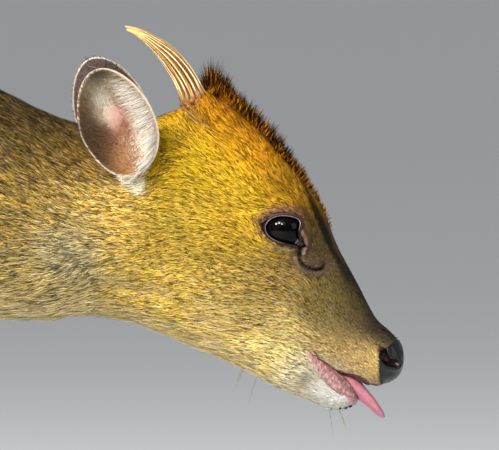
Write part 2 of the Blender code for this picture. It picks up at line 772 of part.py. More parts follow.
def dewclaws(leg, name, side, foot_x, foot_y):
    """Two small claws behind the fetlock, each in a pocket of its own in the leg."""
    nodes = []
    for place, way in (("inner", -side), ("outer", side)):
        centre = (foot_x - 11.5, foot_y + way * 6.4, DEWCLAW_HEIGHT)
        claw = ball(f"dewclaw_{name}_{place}", centre, DEWCLAW_SIZE, math.radians(25), detail=1)
        boolean(leg, grown(claw, "pocket"), "DIFFERENCE")
        nodes.append(claw)
    tidy_mesh(leg)
    return nodes


def limb_at(rows, height):
    """The middle of a limb at a height above the floor."""
    for upper, lower in zip(rows, rows[1:]):
        if upper[2] >= height >= lower[2]:
            share = (upper[2] - height) / (upper[2] - lower[2])
            return tuple(upper[i] + (lower[i] - upper[i]) * share for i in range(3))


def paint(obj, finish):
    colour, rough = COLOURS[finish]
    material = bpy.data.materials.get(finish) or bpy.data.materials.new(finish)
    material.use_nodes = True
    shader = material.node_tree.nodes["Principled BSDF"]
    shader.inputs["Base Color"].default_value = (*colour, 1)
    shader.inputs["Roughness"].default_value = rough
    obj.data.materials.clear()
    obj.data.materials.append(material)


def centre_over_origin(nodes):
    """Moves the nodes so that the middle of the animal's outline is over the origin."""
    points = np.array([vert.co for node in nodes for vert in node.data.vertices])
    low, high = points.min(axis=0), points.max(axis=0)
    shift = Vector((-(low[0] + high[0]) / 2, -(low[1] + high[1]) / 2, -low[2]))
    for node in nodes:
        node.data.transform(Matrix.Translation(shift))


def main():
    clear_scene()
    fine = flesh(1.5, 14, 1)
    coarse = flesh(3.2, 3, 40)
    head = build_head(fine)
    body_nodes = build_body(coarse)
    bpy.data.objects.remove(fine)
    bpy.data.objects.remove(coarse)
    by_name = {node.name: node for node in body_nodes}
    finishes = [(head, "coat"), *((node, "coat") for node in body_nodes)]
    finishes.append((build_tail(by_name["torso"]), "tail"))
    for side in (RIGHT, LEFT):
        finishes.append((build_ear(side, head), "ear"))
        finishes.append((build_antler(side, head), "horn"))
        finishes.append((eye_ball("eye_" + SIDE_NAMES[side], side, EYE_RADIUS), "eye"))
    finishes.append((tongue_shape("tongue"), "tongue"))
    for name, side, rows in limbs():
        foot_x, foot_y, _ = limb_at(rows, HOOF_TOP)
        back_x, back_y, _ = limb_at(rows, DEWCLAW_HEIGHT)
        finishes += [(node, "hoof") for node in build_foot(name, side, foot_x, foot_y)]
        finishes += [(node, "hoof") for node in dewclaws(by_name[name], name, side, back_x, back_y)]
    for node, finish in finishes:
        paint(node, finish)
        node.data.shade_flat()
    centre_over_origin([node for node, _ in finishes])


main()
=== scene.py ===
"""A standing buck muntjac in its coat, head lowered and tongue out, in a plain studio.

Sizes are worked in millimetres from the face's own place: see `to_mm` and `to_m`.
"""

import math

import bmesh
import bpy
import numpy as np
from mathutils import Matrix, Vector
from mathutils.bvhtree import BVHTree


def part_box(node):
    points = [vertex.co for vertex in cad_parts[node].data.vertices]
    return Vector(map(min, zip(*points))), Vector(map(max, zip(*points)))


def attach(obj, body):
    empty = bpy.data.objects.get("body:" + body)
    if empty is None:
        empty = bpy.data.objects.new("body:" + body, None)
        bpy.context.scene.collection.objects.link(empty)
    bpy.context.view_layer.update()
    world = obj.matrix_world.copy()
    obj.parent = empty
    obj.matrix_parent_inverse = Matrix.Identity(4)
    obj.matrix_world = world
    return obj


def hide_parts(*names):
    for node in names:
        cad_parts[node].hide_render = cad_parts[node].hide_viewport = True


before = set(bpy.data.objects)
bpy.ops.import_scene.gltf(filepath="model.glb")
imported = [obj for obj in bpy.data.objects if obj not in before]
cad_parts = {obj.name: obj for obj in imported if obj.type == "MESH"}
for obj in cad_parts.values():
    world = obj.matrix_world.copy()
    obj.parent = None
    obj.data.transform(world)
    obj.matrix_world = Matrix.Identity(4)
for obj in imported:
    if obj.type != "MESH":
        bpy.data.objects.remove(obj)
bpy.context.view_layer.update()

MM = 0.001
RIGHT, LEFT = -1, 1
SIDE_NAMES = {RIGHT: "right", LEFT: "left"}
FLESH = ("head", "neck", "torso", "foreleg_left", "foreleg_right", "hindleg_left", "hindleg_right")

# The eye's middle in millimetres, which places every other size below.
EYE_AT, EYE_Y, EYE_RADIUS = (18.2, 358.4), 25.5, 11.6
# The opening of the lids round the eye's middle, from its front corner over the top: along, up.
LID_SHAPE = (
    (10.0, -8.2),
    (8.3, -4.2),
    (8.3, 0.2),
    (9.0, 3.2),
    (8.2, 5.5),
    (5.2, 7.1),
    (1.2, 7.9),
    (-3.6, 7.7),
    (-7.6, 6.0),
    (-10.2, 2.8),
    (-10.3, -0.6),
    (-8.4, -3.6),
    (-5.0, -5.8),
    (-0.6, -7.3),
    (3.6, -8.1),
    (7.4, -8.9),
)
LID_MIDDLE = (-0.6, -0.9)
low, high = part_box("eye_right")
OFFSET = (low + high) / 2 / MM - Vector((EYE_AT[0], -EYE_Y, EYE_AT[1]))
OFFSET.y = 0

# The top of the skull between the antlers, under the tuft: x, z.
CROWN_LINE = (
    (-50, 422),
    (-38, 430),
    (-27, 436),
    (-15, 434),
    (-2, 422.5),
    (9, 410),
    (18, 400.5),
    (30, 387),
    (38, 376),
    (44, 364),
)
# The flesh of the tail, under its hair: x, z, half depth, half width.
TAIL_CORE = (
    (-690, 438, 9, 9),
    (-716, 423, 8, 9),
    (-729, 400, 6, 10),
    (-735, 370, 5, 10),
    (-738, 342, 4, 8),
    (-738, 322, 2, 4),
)
TAIL_HAIR_END = 292
EAR_CENTRE, EAR_TIP_WAY = (-75, 49.5, 419), (-0.37, 0.26, 0.92)
EAR_FACE_WAY = (0.12, 0.98, -0.2)
EAR_HALF_LENGTH, EAR_HALF_WIDTH, EAR_DEPTH, EAR_THICK = 32.2, 20.6, 12, 1.3
# How far the deepest point of the hollow lies below the ear's middle.
EAR_LOW = 11
# The far ear stands a little higher and further back, as it shows behind the near one.
EAR_LEFT_SHIFT = (-1.6, 0, 1.8)
# The pale hair at the ear's foot: x, y, z. The round root that joins the ear to the head: x, y, z, radius.
EAR_FOOT = ((-70, 36, 391), (-66, 35, 387), (-60, 34, 383))
EAR_ROOT = ((-72, 27.5, 411, 6), (-68, 25.5, 400, 8.5), (-60, 18, 388, 10))
PEDICLE = (-30, 23, 424)
# The antler's middle line: x, y, z, radius.
ANTLER_LINE = (
    (-30, 23, 427, 6.2),
    (-36, 24, 441, 5.9),
    (-44.5, 25.5, 453, 4.9),
    (-54, 26, 461.5, 3.1),
    (-62, 25, 466.7, 1.75),
    (-69, 23, 469.5, 0.5),
)
# The tongue from its root to its tip: x, z, half thickness, half width.
TONGUE = (
    (36, 286.4, 1.4, 4.3),
    (44, 280.4, 3.0, 6.6),
    (53.6, 273.6, 4.8, 7.2),
    (62, 265.8, 4.5, 6.9),
    (68.8, 258.7, 3.5, 5.8),
    (73.5, 253, 2.2, 4.1),
    (75.6, 250.8, 0.8, 1.8),
)
# The way the top of the tongue and of the lower lip faces.
MOUTH_UP = (0.72, 0, 0.69)
# The tear gland in side view: the slit, the fold under it and the ridge in front of it.
GLAND_SLIT = (
    (27.9, 349.6),
    (27.2, 345),
    (27.3, 341.2),
    (29.2, 338.4),
    (32.8, 336.2),
    (36.7, 335.2),
    (40, 335.5),
    (41, 337.4),
)
GLAND_FOLD = ((25.7, 342), (26.8, 337.6), (30.4, 334.3), (35.5, 332.9), (39.8, 333.3))
GLAND_RIDGE = ((27.9, 357.5), (29.9, 354.3), (30.6, 351), (30.1, 347.7), (29.2, 344.4))
NOSTRIL = ((73.9, 289.2), (75.0, 285.2), (77.6, 282.6), (81.4, 282.0))
# The rear edge of the black nose pad in side view: height, then how far forward it starts.
NOSE_EDGE = (
    (266, 76),
    (269, 74.2),
    (275, 72.8),
    (282, 72.2),
    (287, 72.6),
    (291, 76.5),
    (294.5, 83),
    (297, 90),
)
# The creases of the bent neck behind the jaw, in side view.
NECK_FOLD = ((-110, 354), (-98, 344), (-85, 333), (-66, 325), (-46, 320))
NECK_FOLD_RIDGE = ((-106, 363), (-92, 352), (-78, 342), (-60, 333), (-42, 328))
MOUTH_LINE = ((33.2, 290.8), (38.2, 284.2), (46.1, 278.6), (53.0, 275.8), (61.3, 274), (66, 271.4))
MOUTH_FLOOR = ((30, 295), (40, 281), (48, 271), (54, 264), (58, 259), (62, 240))
# How far the side of the upper lip hangs below the solids' lip: x, drop.
LIP_HANG = (
    (33, 0),
    (37, 0.7),
    (41, 2.2),
    (46, 4.2),
    (49.5, 5.2),
    (53.5, 4.6),
    (58, 3.4),
    (66, 3.4),
    (72, 2.4),
    (77, 0),
)
# The bare edge of the lower lip: x, y, z, half thickness, half height.
LOWER_LIP = (
    (34.0, 12.0, 287.6, 1.0, 0.9),
    (37.5, 11.9, 282.6, 1.4, 2.2),
    (42.9, 11.3, 277.0, 1.7, 3.9),
    (48.5, 9.9, 271.4, 1.8, 4.8),
    (54.0, 7.2, 265.5, 1.9, 4.3),
    (57.4, 3.8, 260.8, 2.0, 3.2),
    (58.4, 0.0, 259.4, 2.0, 2.6),
)
# The black stripe from the antler's foot down to the muzzle: x, y, z.
STRIPE = (
    (-24, 20, 424),
    (-8, 17.5, 414),
    (10, 16.5, 404),
    (23, 16, 387),
    (34, 15, 369),
    (44, 13, 351),
    (56, 10, 332),
)

# How far the solids are pushed out before they join, the grid that joins them, the share of its faces
# that is kept, and how far the skin lies under the coat at least.
SKIN_PUSH, SKIN_VOXEL, SKIN_KEPT, SKIN_UNDER = 0.35, 1.35, 0.17, 0.3
# The most tufts in one piece of the coat, at three triangles each.
PIECE_TUFTS = 65000
# The middle of the photograph on the animal.
PHOTO_MIDDLE = (0, 0, 359)
# The camera's distance from there and the width that the photograph shows there, in metres.
CAMERA_FAR, PHOTO_WIDTH = 4.2, 0.2794
# The camera's turn and rise in degrees.
CAMERA_TURN, CAMERA_RISE = -1.8, 3.5
# How far the studio's floor lies under the hooves.
FLOOR_DROP = 0.4
# The lie of the coat in side view: x, z, reach, and the rise of the tips as they run back, in degrees.
LIE = (
    (-118, 418, 26, 32),
    (-112, 388, 22, 36),
    (-100, 362, 16, 22),
    (-140, 352, 20, 4),
    (-98, 340, 16, -30),
    (-120, 316, 24, -2),
    (-72, 368, 13, 2),
    (-52, 394, 9, -42),
    (-60, 381, 8, -16),
    (-44, 416, 9, 50),
    (-12, 424, 14, 36),
    (2, 402, 16, 55),
    (22, 383, 12, 55),
    (-20, 380, 16, 30),
    (-8, 350, 16, 14),
    (-38, 358, 16, 0),
    (2, 328, 16, 20),
    (-12, 310, 14, -4),
    (-42, 326, 14, -5),
    (10, 281, 12, 26),
    (-22, 298, 12, 22),
    (-62, 309, 14, 8),
    (22, 334, 9, 28),
    (47, 330, 12, 52),
    (60, 305, 12, 42),
    (46, 298, 10, 28),
    (50, 262, 10, 24),
)
# Markings of the head and neck: x, z, reach and colour, as screen values.
MARKINGS = (
    (-16, 428, 12, (176, 108, 3)),
    (6, 406, 12, (180, 116, 4)),
    (24, 384, 9, (150, 106, 18)),
    (-26, 396, 15, (176, 140, 20)),
    (-4, 366, 15, (180, 140, 24)),
    (-32, 352, 18, (152, 124, 44)),
    (0, 326, 15, (158, 130, 58)),
    (-44, 324, 15, (206, 170, 66)),
    (14, 286, 13, (228, 198, 114)),
    (-14, 306, 9, (206, 174, 98)),
    (-62, 311, 14, (168, 140, 64)),
    (20, 334, 8, (138, 108, 50)),
    (44, 316, 10, (112, 94, 44)),
    (41, 347, 7, (94, 76, 44)),
    (50, 292, 8, (170, 140, 80)),
    (61, 283, 7, (180, 148, 86)),
    (56, 303, 7, (72, 58, 36)),
    (61, 326, 7, (34, 28, 21)),
    (72, 303, 6, (46, 38, 29)),
    (50, 261, 8, (204, 202, 194)),
    (37, 269, 8, (200, 194, 180)),
    (28, 277, 6, (228, 214, 176)),
    (-112, 427, 14, (62, 48, 20)),
    (-130, 404, 14, (80, 62, 26)),
    (-98, 402, 12, (94, 72, 26)),
    (-128, 372, 12, (128, 102, 42)),
    (-100, 374, 11, (144, 114, 48)),
    (-74, 366, 11, (190, 154, 62)),
    (-100, 346, 11, (150, 136, 96)),
    (-130, 340, 12, (140, 118, 64)),
    (-118, 316, 16, (176, 150, 82)),
    (-80, 396, 8, (118, 86, 28)),
)
# The hollow of the ear: up, forward, reach and colour, as screen values.
EAR_MARKINGS = (
    (0.88, 0.0, 0.20, (44, 30, 18)),
    (0.62, -0.35, 0.20, (150, 130, 102)),
    (0.44, -0.66, 0.18, (126, 98, 70)),
    (0.52, 0.15, 0.20, (178, 158, 122)),
    (0.36, -0.14, 0.19, (246, 240, 226)),
    (0.16, -0.30, 0.12, (206, 178, 150)),
    (0.08, 0.20, 0.12, (204, 142, 138)),
    (-0.06, 0.0, 0.12, (214, 168, 152)),
    (0.12, -0.72, 0.2, (104, 82, 58)),
    (-0.22, -0.66, 0.2, (92, 68, 46)),
    (-0.42, -0.36, 0.18, (118, 80, 58)),
    (-0.2, 0.14, 0.09, (150, 76, 58)),
    (-0.42, 0.14, 0.14, (170, 118, 94)),
    (-0.72, -0.15, 0.20, (158, 114, 72)),
    (0.10, 0.80, 0.22, (204, 182, 154)),
    (-0.50, 0.60, 0.22, (192, 160, 132)),
)
rng = np.random.default_rng(7)


def to_mm(points):
    """Metres in the row's frame to millimetres of the face's own place."""
    return np.asarray(points, float) / MM - np.array(OFFSET)


def to_m(point):
    return (Vector(point) + OFFSET) * MM


def screen(colour):
    """Screen values to linear light."""
    c = np.asarray(colour, float) / 255
    return np.where(c <= 0.04045, c / 12.92, ((c + 0.055) / 1.055) ** 2.4)


def step(low, high, value):
    t = np.clip((value - low) / (high - low), 0, 1)
    return t * t * (3 - 2 * t)


def unit(v):
    return v / np.maximum(np.linalg.norm(v, axis=-1, keepdims=True), 1e-12)


def wander(points, size, seed):
    """Smooth noise from -1 to 1 at millimetre points."""
    p = points / size + seed * 17.3
    cell = np.floor(p).astype(np.int64)
    f = p - cell
    f = f * f * (3 - 2 * f)
    total = 0
    for corner in range(8):
        bits = np.array([corner & 1, corner >> 1 & 1, corner >> 2 & 1])
        c = cell + bits
        h = (c[:, 0] * 374761393 + c[:, 1] * 668265263 + c[:, 2] * 2147483647 + seed * 97) & 0x7FFFFFFF
        h = ((h ^ (h >> 13)) * 1274126177) & 0x7FFFFFFF
        weight = np.prod(np.where(bits == 1, f, 1 - f), axis=1)
        total = total + weight * ((h & 0xFFFF) / 32767.5 - 1)
    return total


def line_distance(points, line):
    """The distance of each point from a line of any number of dimensions."""
    line = np.asarray(line, float)
    best = np.full(len(points), np.inf)
    for a, b in zip(line, line[1:]):
        ab = b - a
        t = np.clip(((points - a) @ ab) / (ab @ ab), 0, 1)
        best = np.minimum(best, np.linalg.norm(points - a - t[:, None] * ab, axis=1))
    return best


def side_distance(p, line):
    """The distance of each point from a line in side view."""
    return line_distance(p[:, [0, 2]], line)


def by_line(p, line, start, end):
    """The step from 0 to 1 by the distance from a line in side view."""
    return step(start, end, side_distance(p, line))


def off_middle(p, start, end):
    """The step from 0 to 1 by the distance from the body's middle plane."""
    return step(start, end, np.abs(p[:, 1]))


def read_off(line, places):
    """The second value of a line of pairs at places along its first."""
    return np.interp(places, *zip(*line))


def fade(distance, reach):
    return np.exp(-((distance / reach) ** 2))


def spot(dx, dy, reach):
    """1 in the middle of a round spot, fading out to its sides."""
    return np.exp(-(dx**2 + dy**2) / (2 * reach**2))


def blend(marks, across, up, ground):
    """The colours of round marks in a plane, mixed by how near each point is to each mark."""
    total = np.full(len(up), 1e-6)
    base = total[:, None] * screen(ground)
    for mark_across, mark_up, reach, colour in marks:
        w = spot(across - mark_across, up - mark_up, reach)
        base = base + w[:, None] * screen(colour)
        total = total + w
    return base / total[:, None]


def lay(base, *layers):
    """Screen colours laid over the base one after the other, each by its own amount at each point."""
    for colour, amount in layers:
        base = base + (screen(colour) - base) * amount[:, None]
    return base


def plain(colour, p):
    """One screen colour for all the points."""
    return np.tile(screen(colour), (len(p), 1))


def along_skin(way, n, share=1.0):
    """The ways turned to lie along the skin, or a share of the turn."""
    return way - n * np.sum(way * n, axis=1)[:, None] * share


def mirrored_y(p):
    q = p.copy()
    q[:, 1] = np.abs(q[:, 1])
    return q


def lid_reach():
    """The opening of the lids as angles about its middle and the reach at each."""
    shape = np.array(smooth_rows(np.array(LID_SHAPE + LID_SHAPE[:1]), 6))[:-1] - np.array(LID_MIDDLE)
    angle = np.arctan2(shape[:, 1], shape[:, 0])
    order = np.argsort(angle)
    return angle[order], np.hypot(shape[:, 0], shape[:, 1])[order]


def lid_share(p):
    """How far each point is from the middle of the eye's opening in side view: 1 on the edge of the lids."""
    angles, reaches = lid_reach()
    dx, dz = p[:, 0] - EYE_AT[0] - LID_MIDDLE[0], p[:, 2] - EYE_AT[1] - LID_MIDDLE[1]
    edge = np.interp(np.arctan2(dz, dx), angles, reaches, period=math.tau)
    return np.where(np.abs(p[:, 1]) > 14, np.hypot(dx, dz) / edge, 9.0)


def nose_pad(p, early=0.0):
    """1 on the black pad of the nose, from a little behind its edge if early."""
    edge = read_off(NOSE_EDGE, p[:, 2]) - early
    return step(-0.5, 0.9, p[:, 0] - edge + 0.5 * wander(p, 2.5, 31))


def lips(p):
    """1 on the bare edges of the lips and in the mouth."""
    x, z = p[:, 0], p[:, 2]
    lip = by_line(p, MOUTH_LINE, 1.2, 0.6)
    lower = by_line(p, [(row[0], row[2]) for row in LOWER_LIP], 2.4, 1.6)
    inside = step(0, 1.5, z - read_off(MOUTH_FLOOR, x)) * step(0, 1.5, read_off(MOUTH_LINE, x) - z)
    inside = inside * step(34, 38, x) * step(76, 70, x)
    return np.maximum.reduce([lip, lower, inside]) * off_middle(p, 30, 26) * (1 - nose_pad(p))


def flap_share(p):
    """How far each point is from the middle of the tear gland's pouch in side view: 1 at its edge."""
    return np.hypot((p[:, 0] - 35.5) / 6.5, (p[:, 2] - 342) / 6)


def bare(p):
    """1 on skin with no hair: the nose pad, the lips, the lids and the tear gland; 0 in the coat."""
    gland = by_line(p, GLAND_SLIT, 1.6, 1.0)
    gland = np.maximum(gland, 0.7 * by_line(p, GLAND_FOLD, 1.1, 0.5))
    gland = np.maximum(gland, 0.9 * by_line(p, GLAND_RIDGE, 1.6, 0.8))
    lids = step(1.2, 1.1, lid_share(p))
    return np.maximum.reduce([nose_pad(p), lips(p), gland * off_middle(p, 10, 14), lids])


def sculpted(p, n):
    """The skin's fine forms raised and sunk: nostrils, mouth, tear glands, eye sockets and neck creases."""
    x, z = p[:, 0], p[:, 2]
    near = side_distance(p, NOSTRIL)
    rise = off_middle(p, 4.5, 6.5) * (fade(near - 3.0, 1.3) - 4.2 * fade(near, 1.35)) * step(66, 70, x)
    flank = off_middle(p, 12, 20)
    rise = rise - 2.0 * fade(side_distance(p, NECK_FOLD), 3.6) * flank
    rise = rise + 1.2 * fade(side_distance(p, NECK_FOLD_RIDGE), 6.0) * flank
    rise = rise - 0.8 * off_middle(p, 2.2, 0.3) * step(70, 74, x) * step(289, 285, z)
    rise = rise - 1.3 * fade(side_distance(p, MOUTH_LINE[:4]), 0.9) * off_middle(p, 30, 26)
    hump = fade(x + 20, np.where(x < -20, 6, 10)) * off_middle(p, 16, 6)
    rise = rise + 4.5 * hump * step(0.1, 0.5, n[:, 2]) * (z > 410)
    outer = off_middle(p, 10, 14)
    slit = side_distance(p, GLAND_SLIT)
    rise = rise - 3.6 * outer * fade(slit, 1.0)
    rise = rise + 0.6 * outer * fade(side_distance(p, GLAND_FOLD), 1.2)
    rise = rise + 1.6 * outer * fade(side_distance(p, GLAND_RIDGE), 1.3)
    rise = rise + 1.1 * outer * fade(flap_share(p), 1.0) * step(0.6, 1.8, slit)
    made = p + n * rise[:, None]
    line = read_off(MOUTH_LINE, x)
    hang = step(16, 4, z - line) * (z > line - 0.5) * off_middle(p, 3, 6.5)
    made[:, 2] -= hang * read_off(LIP_HANG, x)
    dx, dz = x - EYE_AT[0], z - EYE_AT[1]
    ball = EYE_Y + np.sqrt(np.maximum(EYE_RADIUS**2 - dx**2 - dz**2, 0)) - 2.5
    deep = np.minimum(np.abs(p[:, 1]), ball)
    mix = step(1.22, 1.06, lid_share(p)) * off_middle(p, 14, 18)
    made[:, 1] = made[:, 1] * (1 - mix) + np.sign(p[:, 1]) * deep * mix
    return made


def on_legs(p, top=290, foot=215):
    """1 on the legs, 0 on the trunk and in front of it."""
    return step(top, foot, p[:, 2]) * step(-160, -185, p[:, 0])


def by_pedicle(p, reach):
    """1 at the foot of each antler, 0 past the reach."""
    return step(reach, 9, np.linalg.norm(mirrored_y(p) - np.array(PEDICLE), axis=1))


def coat_depth(p):
    """How far the skin lies below the tips of the coat, in millimetres."""
    x = p[:, 0]
    depth = 1.3 + 1.7 * step(-50, -110, x) + 2.2 * step(-150, -220, x)
    depth = depth * (1 - 0.45 * step(35, 60, x)) * (0.45 + 0.55 * step(1.2, 1.9, lid_share(p)))
    depth = depth + (1.3 - depth) * on_legs(p, 285, 225)
    return depth * (1 - bare(p))


def coat_length(p):
    """The length of the hair in each place, in millimetres."""
    x, z = p[:, 0], p[:, 2]
    long = 5.2 + 1.6 * step(-45, -110, x) + 6.6 * step(-150, -230, x) - 2.6 * step(26, 52, x)
    long = long * (0.5 + 0.5 * step(1.15, 2.0, lid_share(p)))
    long = long * (0.5 + 0.5 * by_line(p, GLAND_SLIT + GLAND_RIDGE[::-1], 1.5, 8))
    long = long + (4.6 - long) * on_legs(p)
    throat = step(318, 300, z) * step(20, -10, x) * step(-150, -120, x)
    return long + 3.0 * throat + 2.5 * by_pedicle(p, 15)


def coat_width(p):
    """The breadth of a tuft in each place, in millimetres."""
    x = p[:, 0]
    wide = 0.4 + 0.04 * step(-45, -110, x) + 0.71 * step(-150, -240, x) - 0.08 * step(30, 52, x)
    wide = wide * (0.75 + 0.25 * by_line(p, GLAND_SLIT, 3, 10))
    return wide + (0.8 - wide) * on_legs(p)


def coat_close(p):
    """Tufts to a square millimetre."""
    x = p[:, 0]
    close = 3.4 - 1.2 * step(-45, -110, x) - 1.78 * step(-140, -230, x) + 0.8 * step(30, 52, x)
    close = close + 2.6 * by_line(p, GLAND_SLIT, 10, 5)
    return close + (0.85 - close) * on_legs(p)


def coat_lie(p, n):
    """The way the tips of the coat point, along the surface."""
    x, z = p[:, 0], p[:, 2]
    total = np.zeros((len(p), 3))
    for at_x, at_z, reach, rise in LIE:
        w = spot(x - at_x, z - at_z, reach)
        total[:, 0] -= w * math.cos(math.radians(rise))
        total[:, 2] += w * math.sin(math.radians(rise))
    head = unit(total + 1e-4 * np.array([-1.0, 0, 0.1]))
    leg_top = np.where(x < -450, 320, 300)
    down = step(leg_top + 60, leg_top - 60, z) * (1 - 0.6 * step(0.0, -0.8, n[:, 2]))
    rump = step(-640, -710, x)
    body = np.stack([-1 + 0.85 * down + 0.3 * rump, 0 * x, -0.22 - 0.9 * down - 0.9 * rump], axis=1)
    t = step(-130, -190, x)[:, None]
    way = head * (1 - t) + unit(body) * t
    dx, dz = x - EYE_AT[0], z - EYE_AT[1]
    round_eye = unit(np.stack([-dz, 0 * dx, dx], axis=1))
    round_eye *= np.sign(np.sum(round_eye * way, axis=1))[:, None]
    w = spot(dx, dz, 11.0)[:, None]
    way = way * (1 - w) + round_eye * w
    upright = 0.8 * by_pedicle(p, 16)[:, None]
    way = way * (1 - upright) + np.array([-0.35, 0, 0.9]) * upright
    way = way + 0.16 * np.stack([wander(p, 9, seed) for seed in (3, 4, 5)], axis=1)
    return unit(along_skin(way, n))


def head_markings(p, n):
    """The hair of the head and neck: the marks of both sides, and the stripes and patches over them."""
    x, z = p[:, 0], p[:, 2]
    q = mirrored_y(p)
    brow = off_middle(p, 12, 5) * step(28, 34, x) * step(356, 366, z)
    stripe = step(5.2, 2.0, line_distance(q, STRIPE) + 0.8 * wander(p, 4, 8))
    bridge = off_middle(p, 9, 4) * step(44, 52, x) * step(288, 296, z)
    above = step(-2, 6, z - EYE_AT[1])
    ring = step(1.65, 1.15, lid_share(p) - 0.15 * above + 0.12 * wander(p, 4, 9))
    gland = by_line(p, GLAND_SLIT, 8, 3) * off_middle(p, 8, 12)
    throat = step(-0.35, -0.85, n[:, 2]) * step(50, 20, x)
    ear_foot = step(6.8, 2, line_distance(q, EAR_FOOT) + 1.2 * wander(p, 2.5, 13))
    nape = step(0.35, 0.9, n[:, 2]) * step(-60, -90, x)
    return lay(
        blend(MARKINGS, x, z, (160, 130, 60)),
        ((168, 128, 52), 0.8 * brow),
        ((30, 22, 13), 0.92 * stripe),
        ((44, 36, 27), 0.85 * bridge * step(0.1, 0.5, n[:, 0] + n[:, 2])),
        ((112, 78, 58), 0.8 * ring * (0.6 + 0.4 * above)),
        ((112, 88, 60), 0.7 * gland),
        ((112, 96, 76), 0.65 * fade(np.hypot(x - 32.5, z - 272), 5)),
        ((208, 190, 140), 0.5 * throat),
        ((240, 230, 198), 0.9 * ear_foot),
        ((72, 54, 24), 0.65 * nape),
    )


def body_markings(p, n):
    """The hair of the trunk, the legs and the tail."""
    x, y, z = p.T
    back = step(395, 470, z + 30 * n[:, 2])
    rump = step(-560, -660, x) * step(300, 350, z) * step(455, 420, z)
    under = step(0.0, -0.75, n[:, 2]) * step(330, 290, z)
    inner = step(0.2, 0.8, -n[:, 1] * np.sign(y)) * step(300, 270, z)
    front = step(0.0, 0.6, n[:, 0]) * step(250, 190, z)
    tail = step(-705, -725, x) * step(285, 300, z)
    seat = step(0.4, 0.8, -n[:, 0]) * step(-655, -680, x) * off_middle(p, 30, 15)
    return lay(
        plain((142, 108, 58), p),
        ((92, 68, 38), 0.9 * back),
        ((150, 104, 52), 0.6 * rump),
        ((196, 176, 132), 0.85 * under),
        ((186, 164, 122), 0.6 * inner),
        ((98, 70, 40), 0.85 * step(285, 215, z) * (1 - 0.6 * inner)),
        ((54, 40, 26), 0.8 * front),
        ((50, 38, 28), 0.8 * step(60, 25, z)),
        ((128, 84, 42), 0.9 * tail * step(0.35, -0.1, n[:, 0])),
        ((236, 230, 216), tail * step(-0.05, 0.45, n[:, 0])),
        ((220, 208, 182), 0.8 * seat * step(300, 330, z) * step(410, 380, z)),
    )


def markings(p, n):
    """The coat's colour at each point, in linear light, the same for the skin and for its tufts."""
    t = step(-125, -185, p[:, 0])[:, None]
    mixed = head_markings(p, n) * (1 - t) + body_markings(p, n) * t
    shade = 1 + 0.10 * wander(p, 22, 11) + 0.08 * wander(p, 7, 12)
    return np.clip(mixed * shade[:, None], 0.004, 1)


def whiteness(colour):
    """1 for white hair and 0 for brown, by how much blue the colour has."""
    return step(0.42, 0.62, colour[:, 2] / (colour[:, 0] + 1e-6))


def skin_colour(p, n):
    """The skin's colour: the coat's marking darkened between hairs as painted shade, and bare skin where
    there is none.
    """
    base = markings(p, n)
    # Painted shade: the coat's colour darkened on the skin between the hairs, less in white hair and on the
    # muzzle.
    front = step(24, 44, p[:, :1])
    base = base * (0.3 + 0.35 * whiteness(base)[:, None] * (1 - front) + 0.3 * front)
    outer = off_middle(p, 8, 12)
    muzzle = off_middle(p, 30, 26) * step(20, 30, p[:, 0]) * (1 - nose_pad(p))
    return lay(
        base,
        ((188, 132, 134), lips(p)),
        ((60, 38, 34), lips(p) * step(57, 61, p[:, 0])),
        ((58, 36, 32), by_line(p, MOUTH_LINE, 1.8, 0.7) * muzzle),
        ((3, 3, 4), nose_pad(p, 1.2)),
        ((44, 22, 24), by_line(p, NOSTRIL, 1.5, 0.7) * step(66, 70, p[:, 0])),
        ((74, 56, 40), by_line(p, GLAND_SLIT, 6.5, 3.0) * outer),
        ((62, 40, 32), step(1.6, 1.2, lid_share(p))),
        # Painted highlight: the fold under the slit and the ridge in front of it are painted paler, as light
        # on their raised bare skin.
        ((90, 70, 56), 0.8 * by_line(p, GLAND_FOLD, 1.5, 0.5) * outer),
        ((112, 82, 68), 0.85 * by_line(p, GLAND_RIDGE, 1.5, 0.5) * outer),
        # Painted shade: a near black line along the slit, as the shade inside it.
        ((16, 10, 8), by_line(p, GLAND_SLIT, 1.1, 0.5) * outer),
    )


def skin_plan(p):
    """An unwrap of the body's shape: the trunk and each leg, each round in its own part of the sheet."""
    x, y, z = p.T
    middle = np.interp(x, (-720, -600, -250, -120, -60, 0, 50, 87), (395, 385, 370, 368, 365, 350, 305, 284))
    around = np.arctan2(y, z - middle) / (2 * math.pi) + 0.5
    trunk = np.stack([0.02 + 0.66 * (x + 760) / 860, 0.02 + 0.96 * around], axis=1)
    fore, hind = (z < 258) & (x > -450), (z < 276) & (x <= -450)
    centre_x = np.where(x > -450, -258, -676 + 0.2 * (z - 100)) + 0 * x
    turn = np.arctan2(y - np.sign(y) * 43, x - centre_x) / (2 * math.pi) + 0.5
    row = 0.25 * ((y > 0) + 2 * (x > -450))
    leg = np.stack([0.71 + 0.27 * z / 280, row + 0.01 + 0.23 * turn], axis=1)
    return np.clip(np.where((fore | hind)[:, None], leg, trunk), 0.0, 0.996)


def new_object(name, data):
    obj = bpy.data.objects.new(name, data)
    bpy.context.scene.collection.objects.link(obj)
    return obj


def mesh_object(name, bm, smooth=True):
    mesh = bpy.data.meshes.new(name)
    bm.to_mesh(mesh)
    bm.free()
    if smooth:
        mesh.shade_smooth()
    return new_object(name, mesh)


def apply_modifiers(obj):
    graph = bpy.context.evaluated_depsgraph_get()
    mesh = bpy.data.meshes.new_from_object(obj.evaluated_get(graph))
    obj.modifiers.clear()
    old = obj.data
    obj.data = mesh
    bpy.data.meshes.remove(old)


def points_of(mesh):
    co = np.empty(len(mesh.vertices) * 3)
    mesh.vertices.foreach_get("co", co)
    return co.reshape(-1, 3)


def normals_of(mesh):
    no = np.empty(len(mesh.vertices) * 3, np.float32)
    mesh.vertex_normals.foreach_get("vector", no)
    return no.reshape(-1, 3).astype(float)


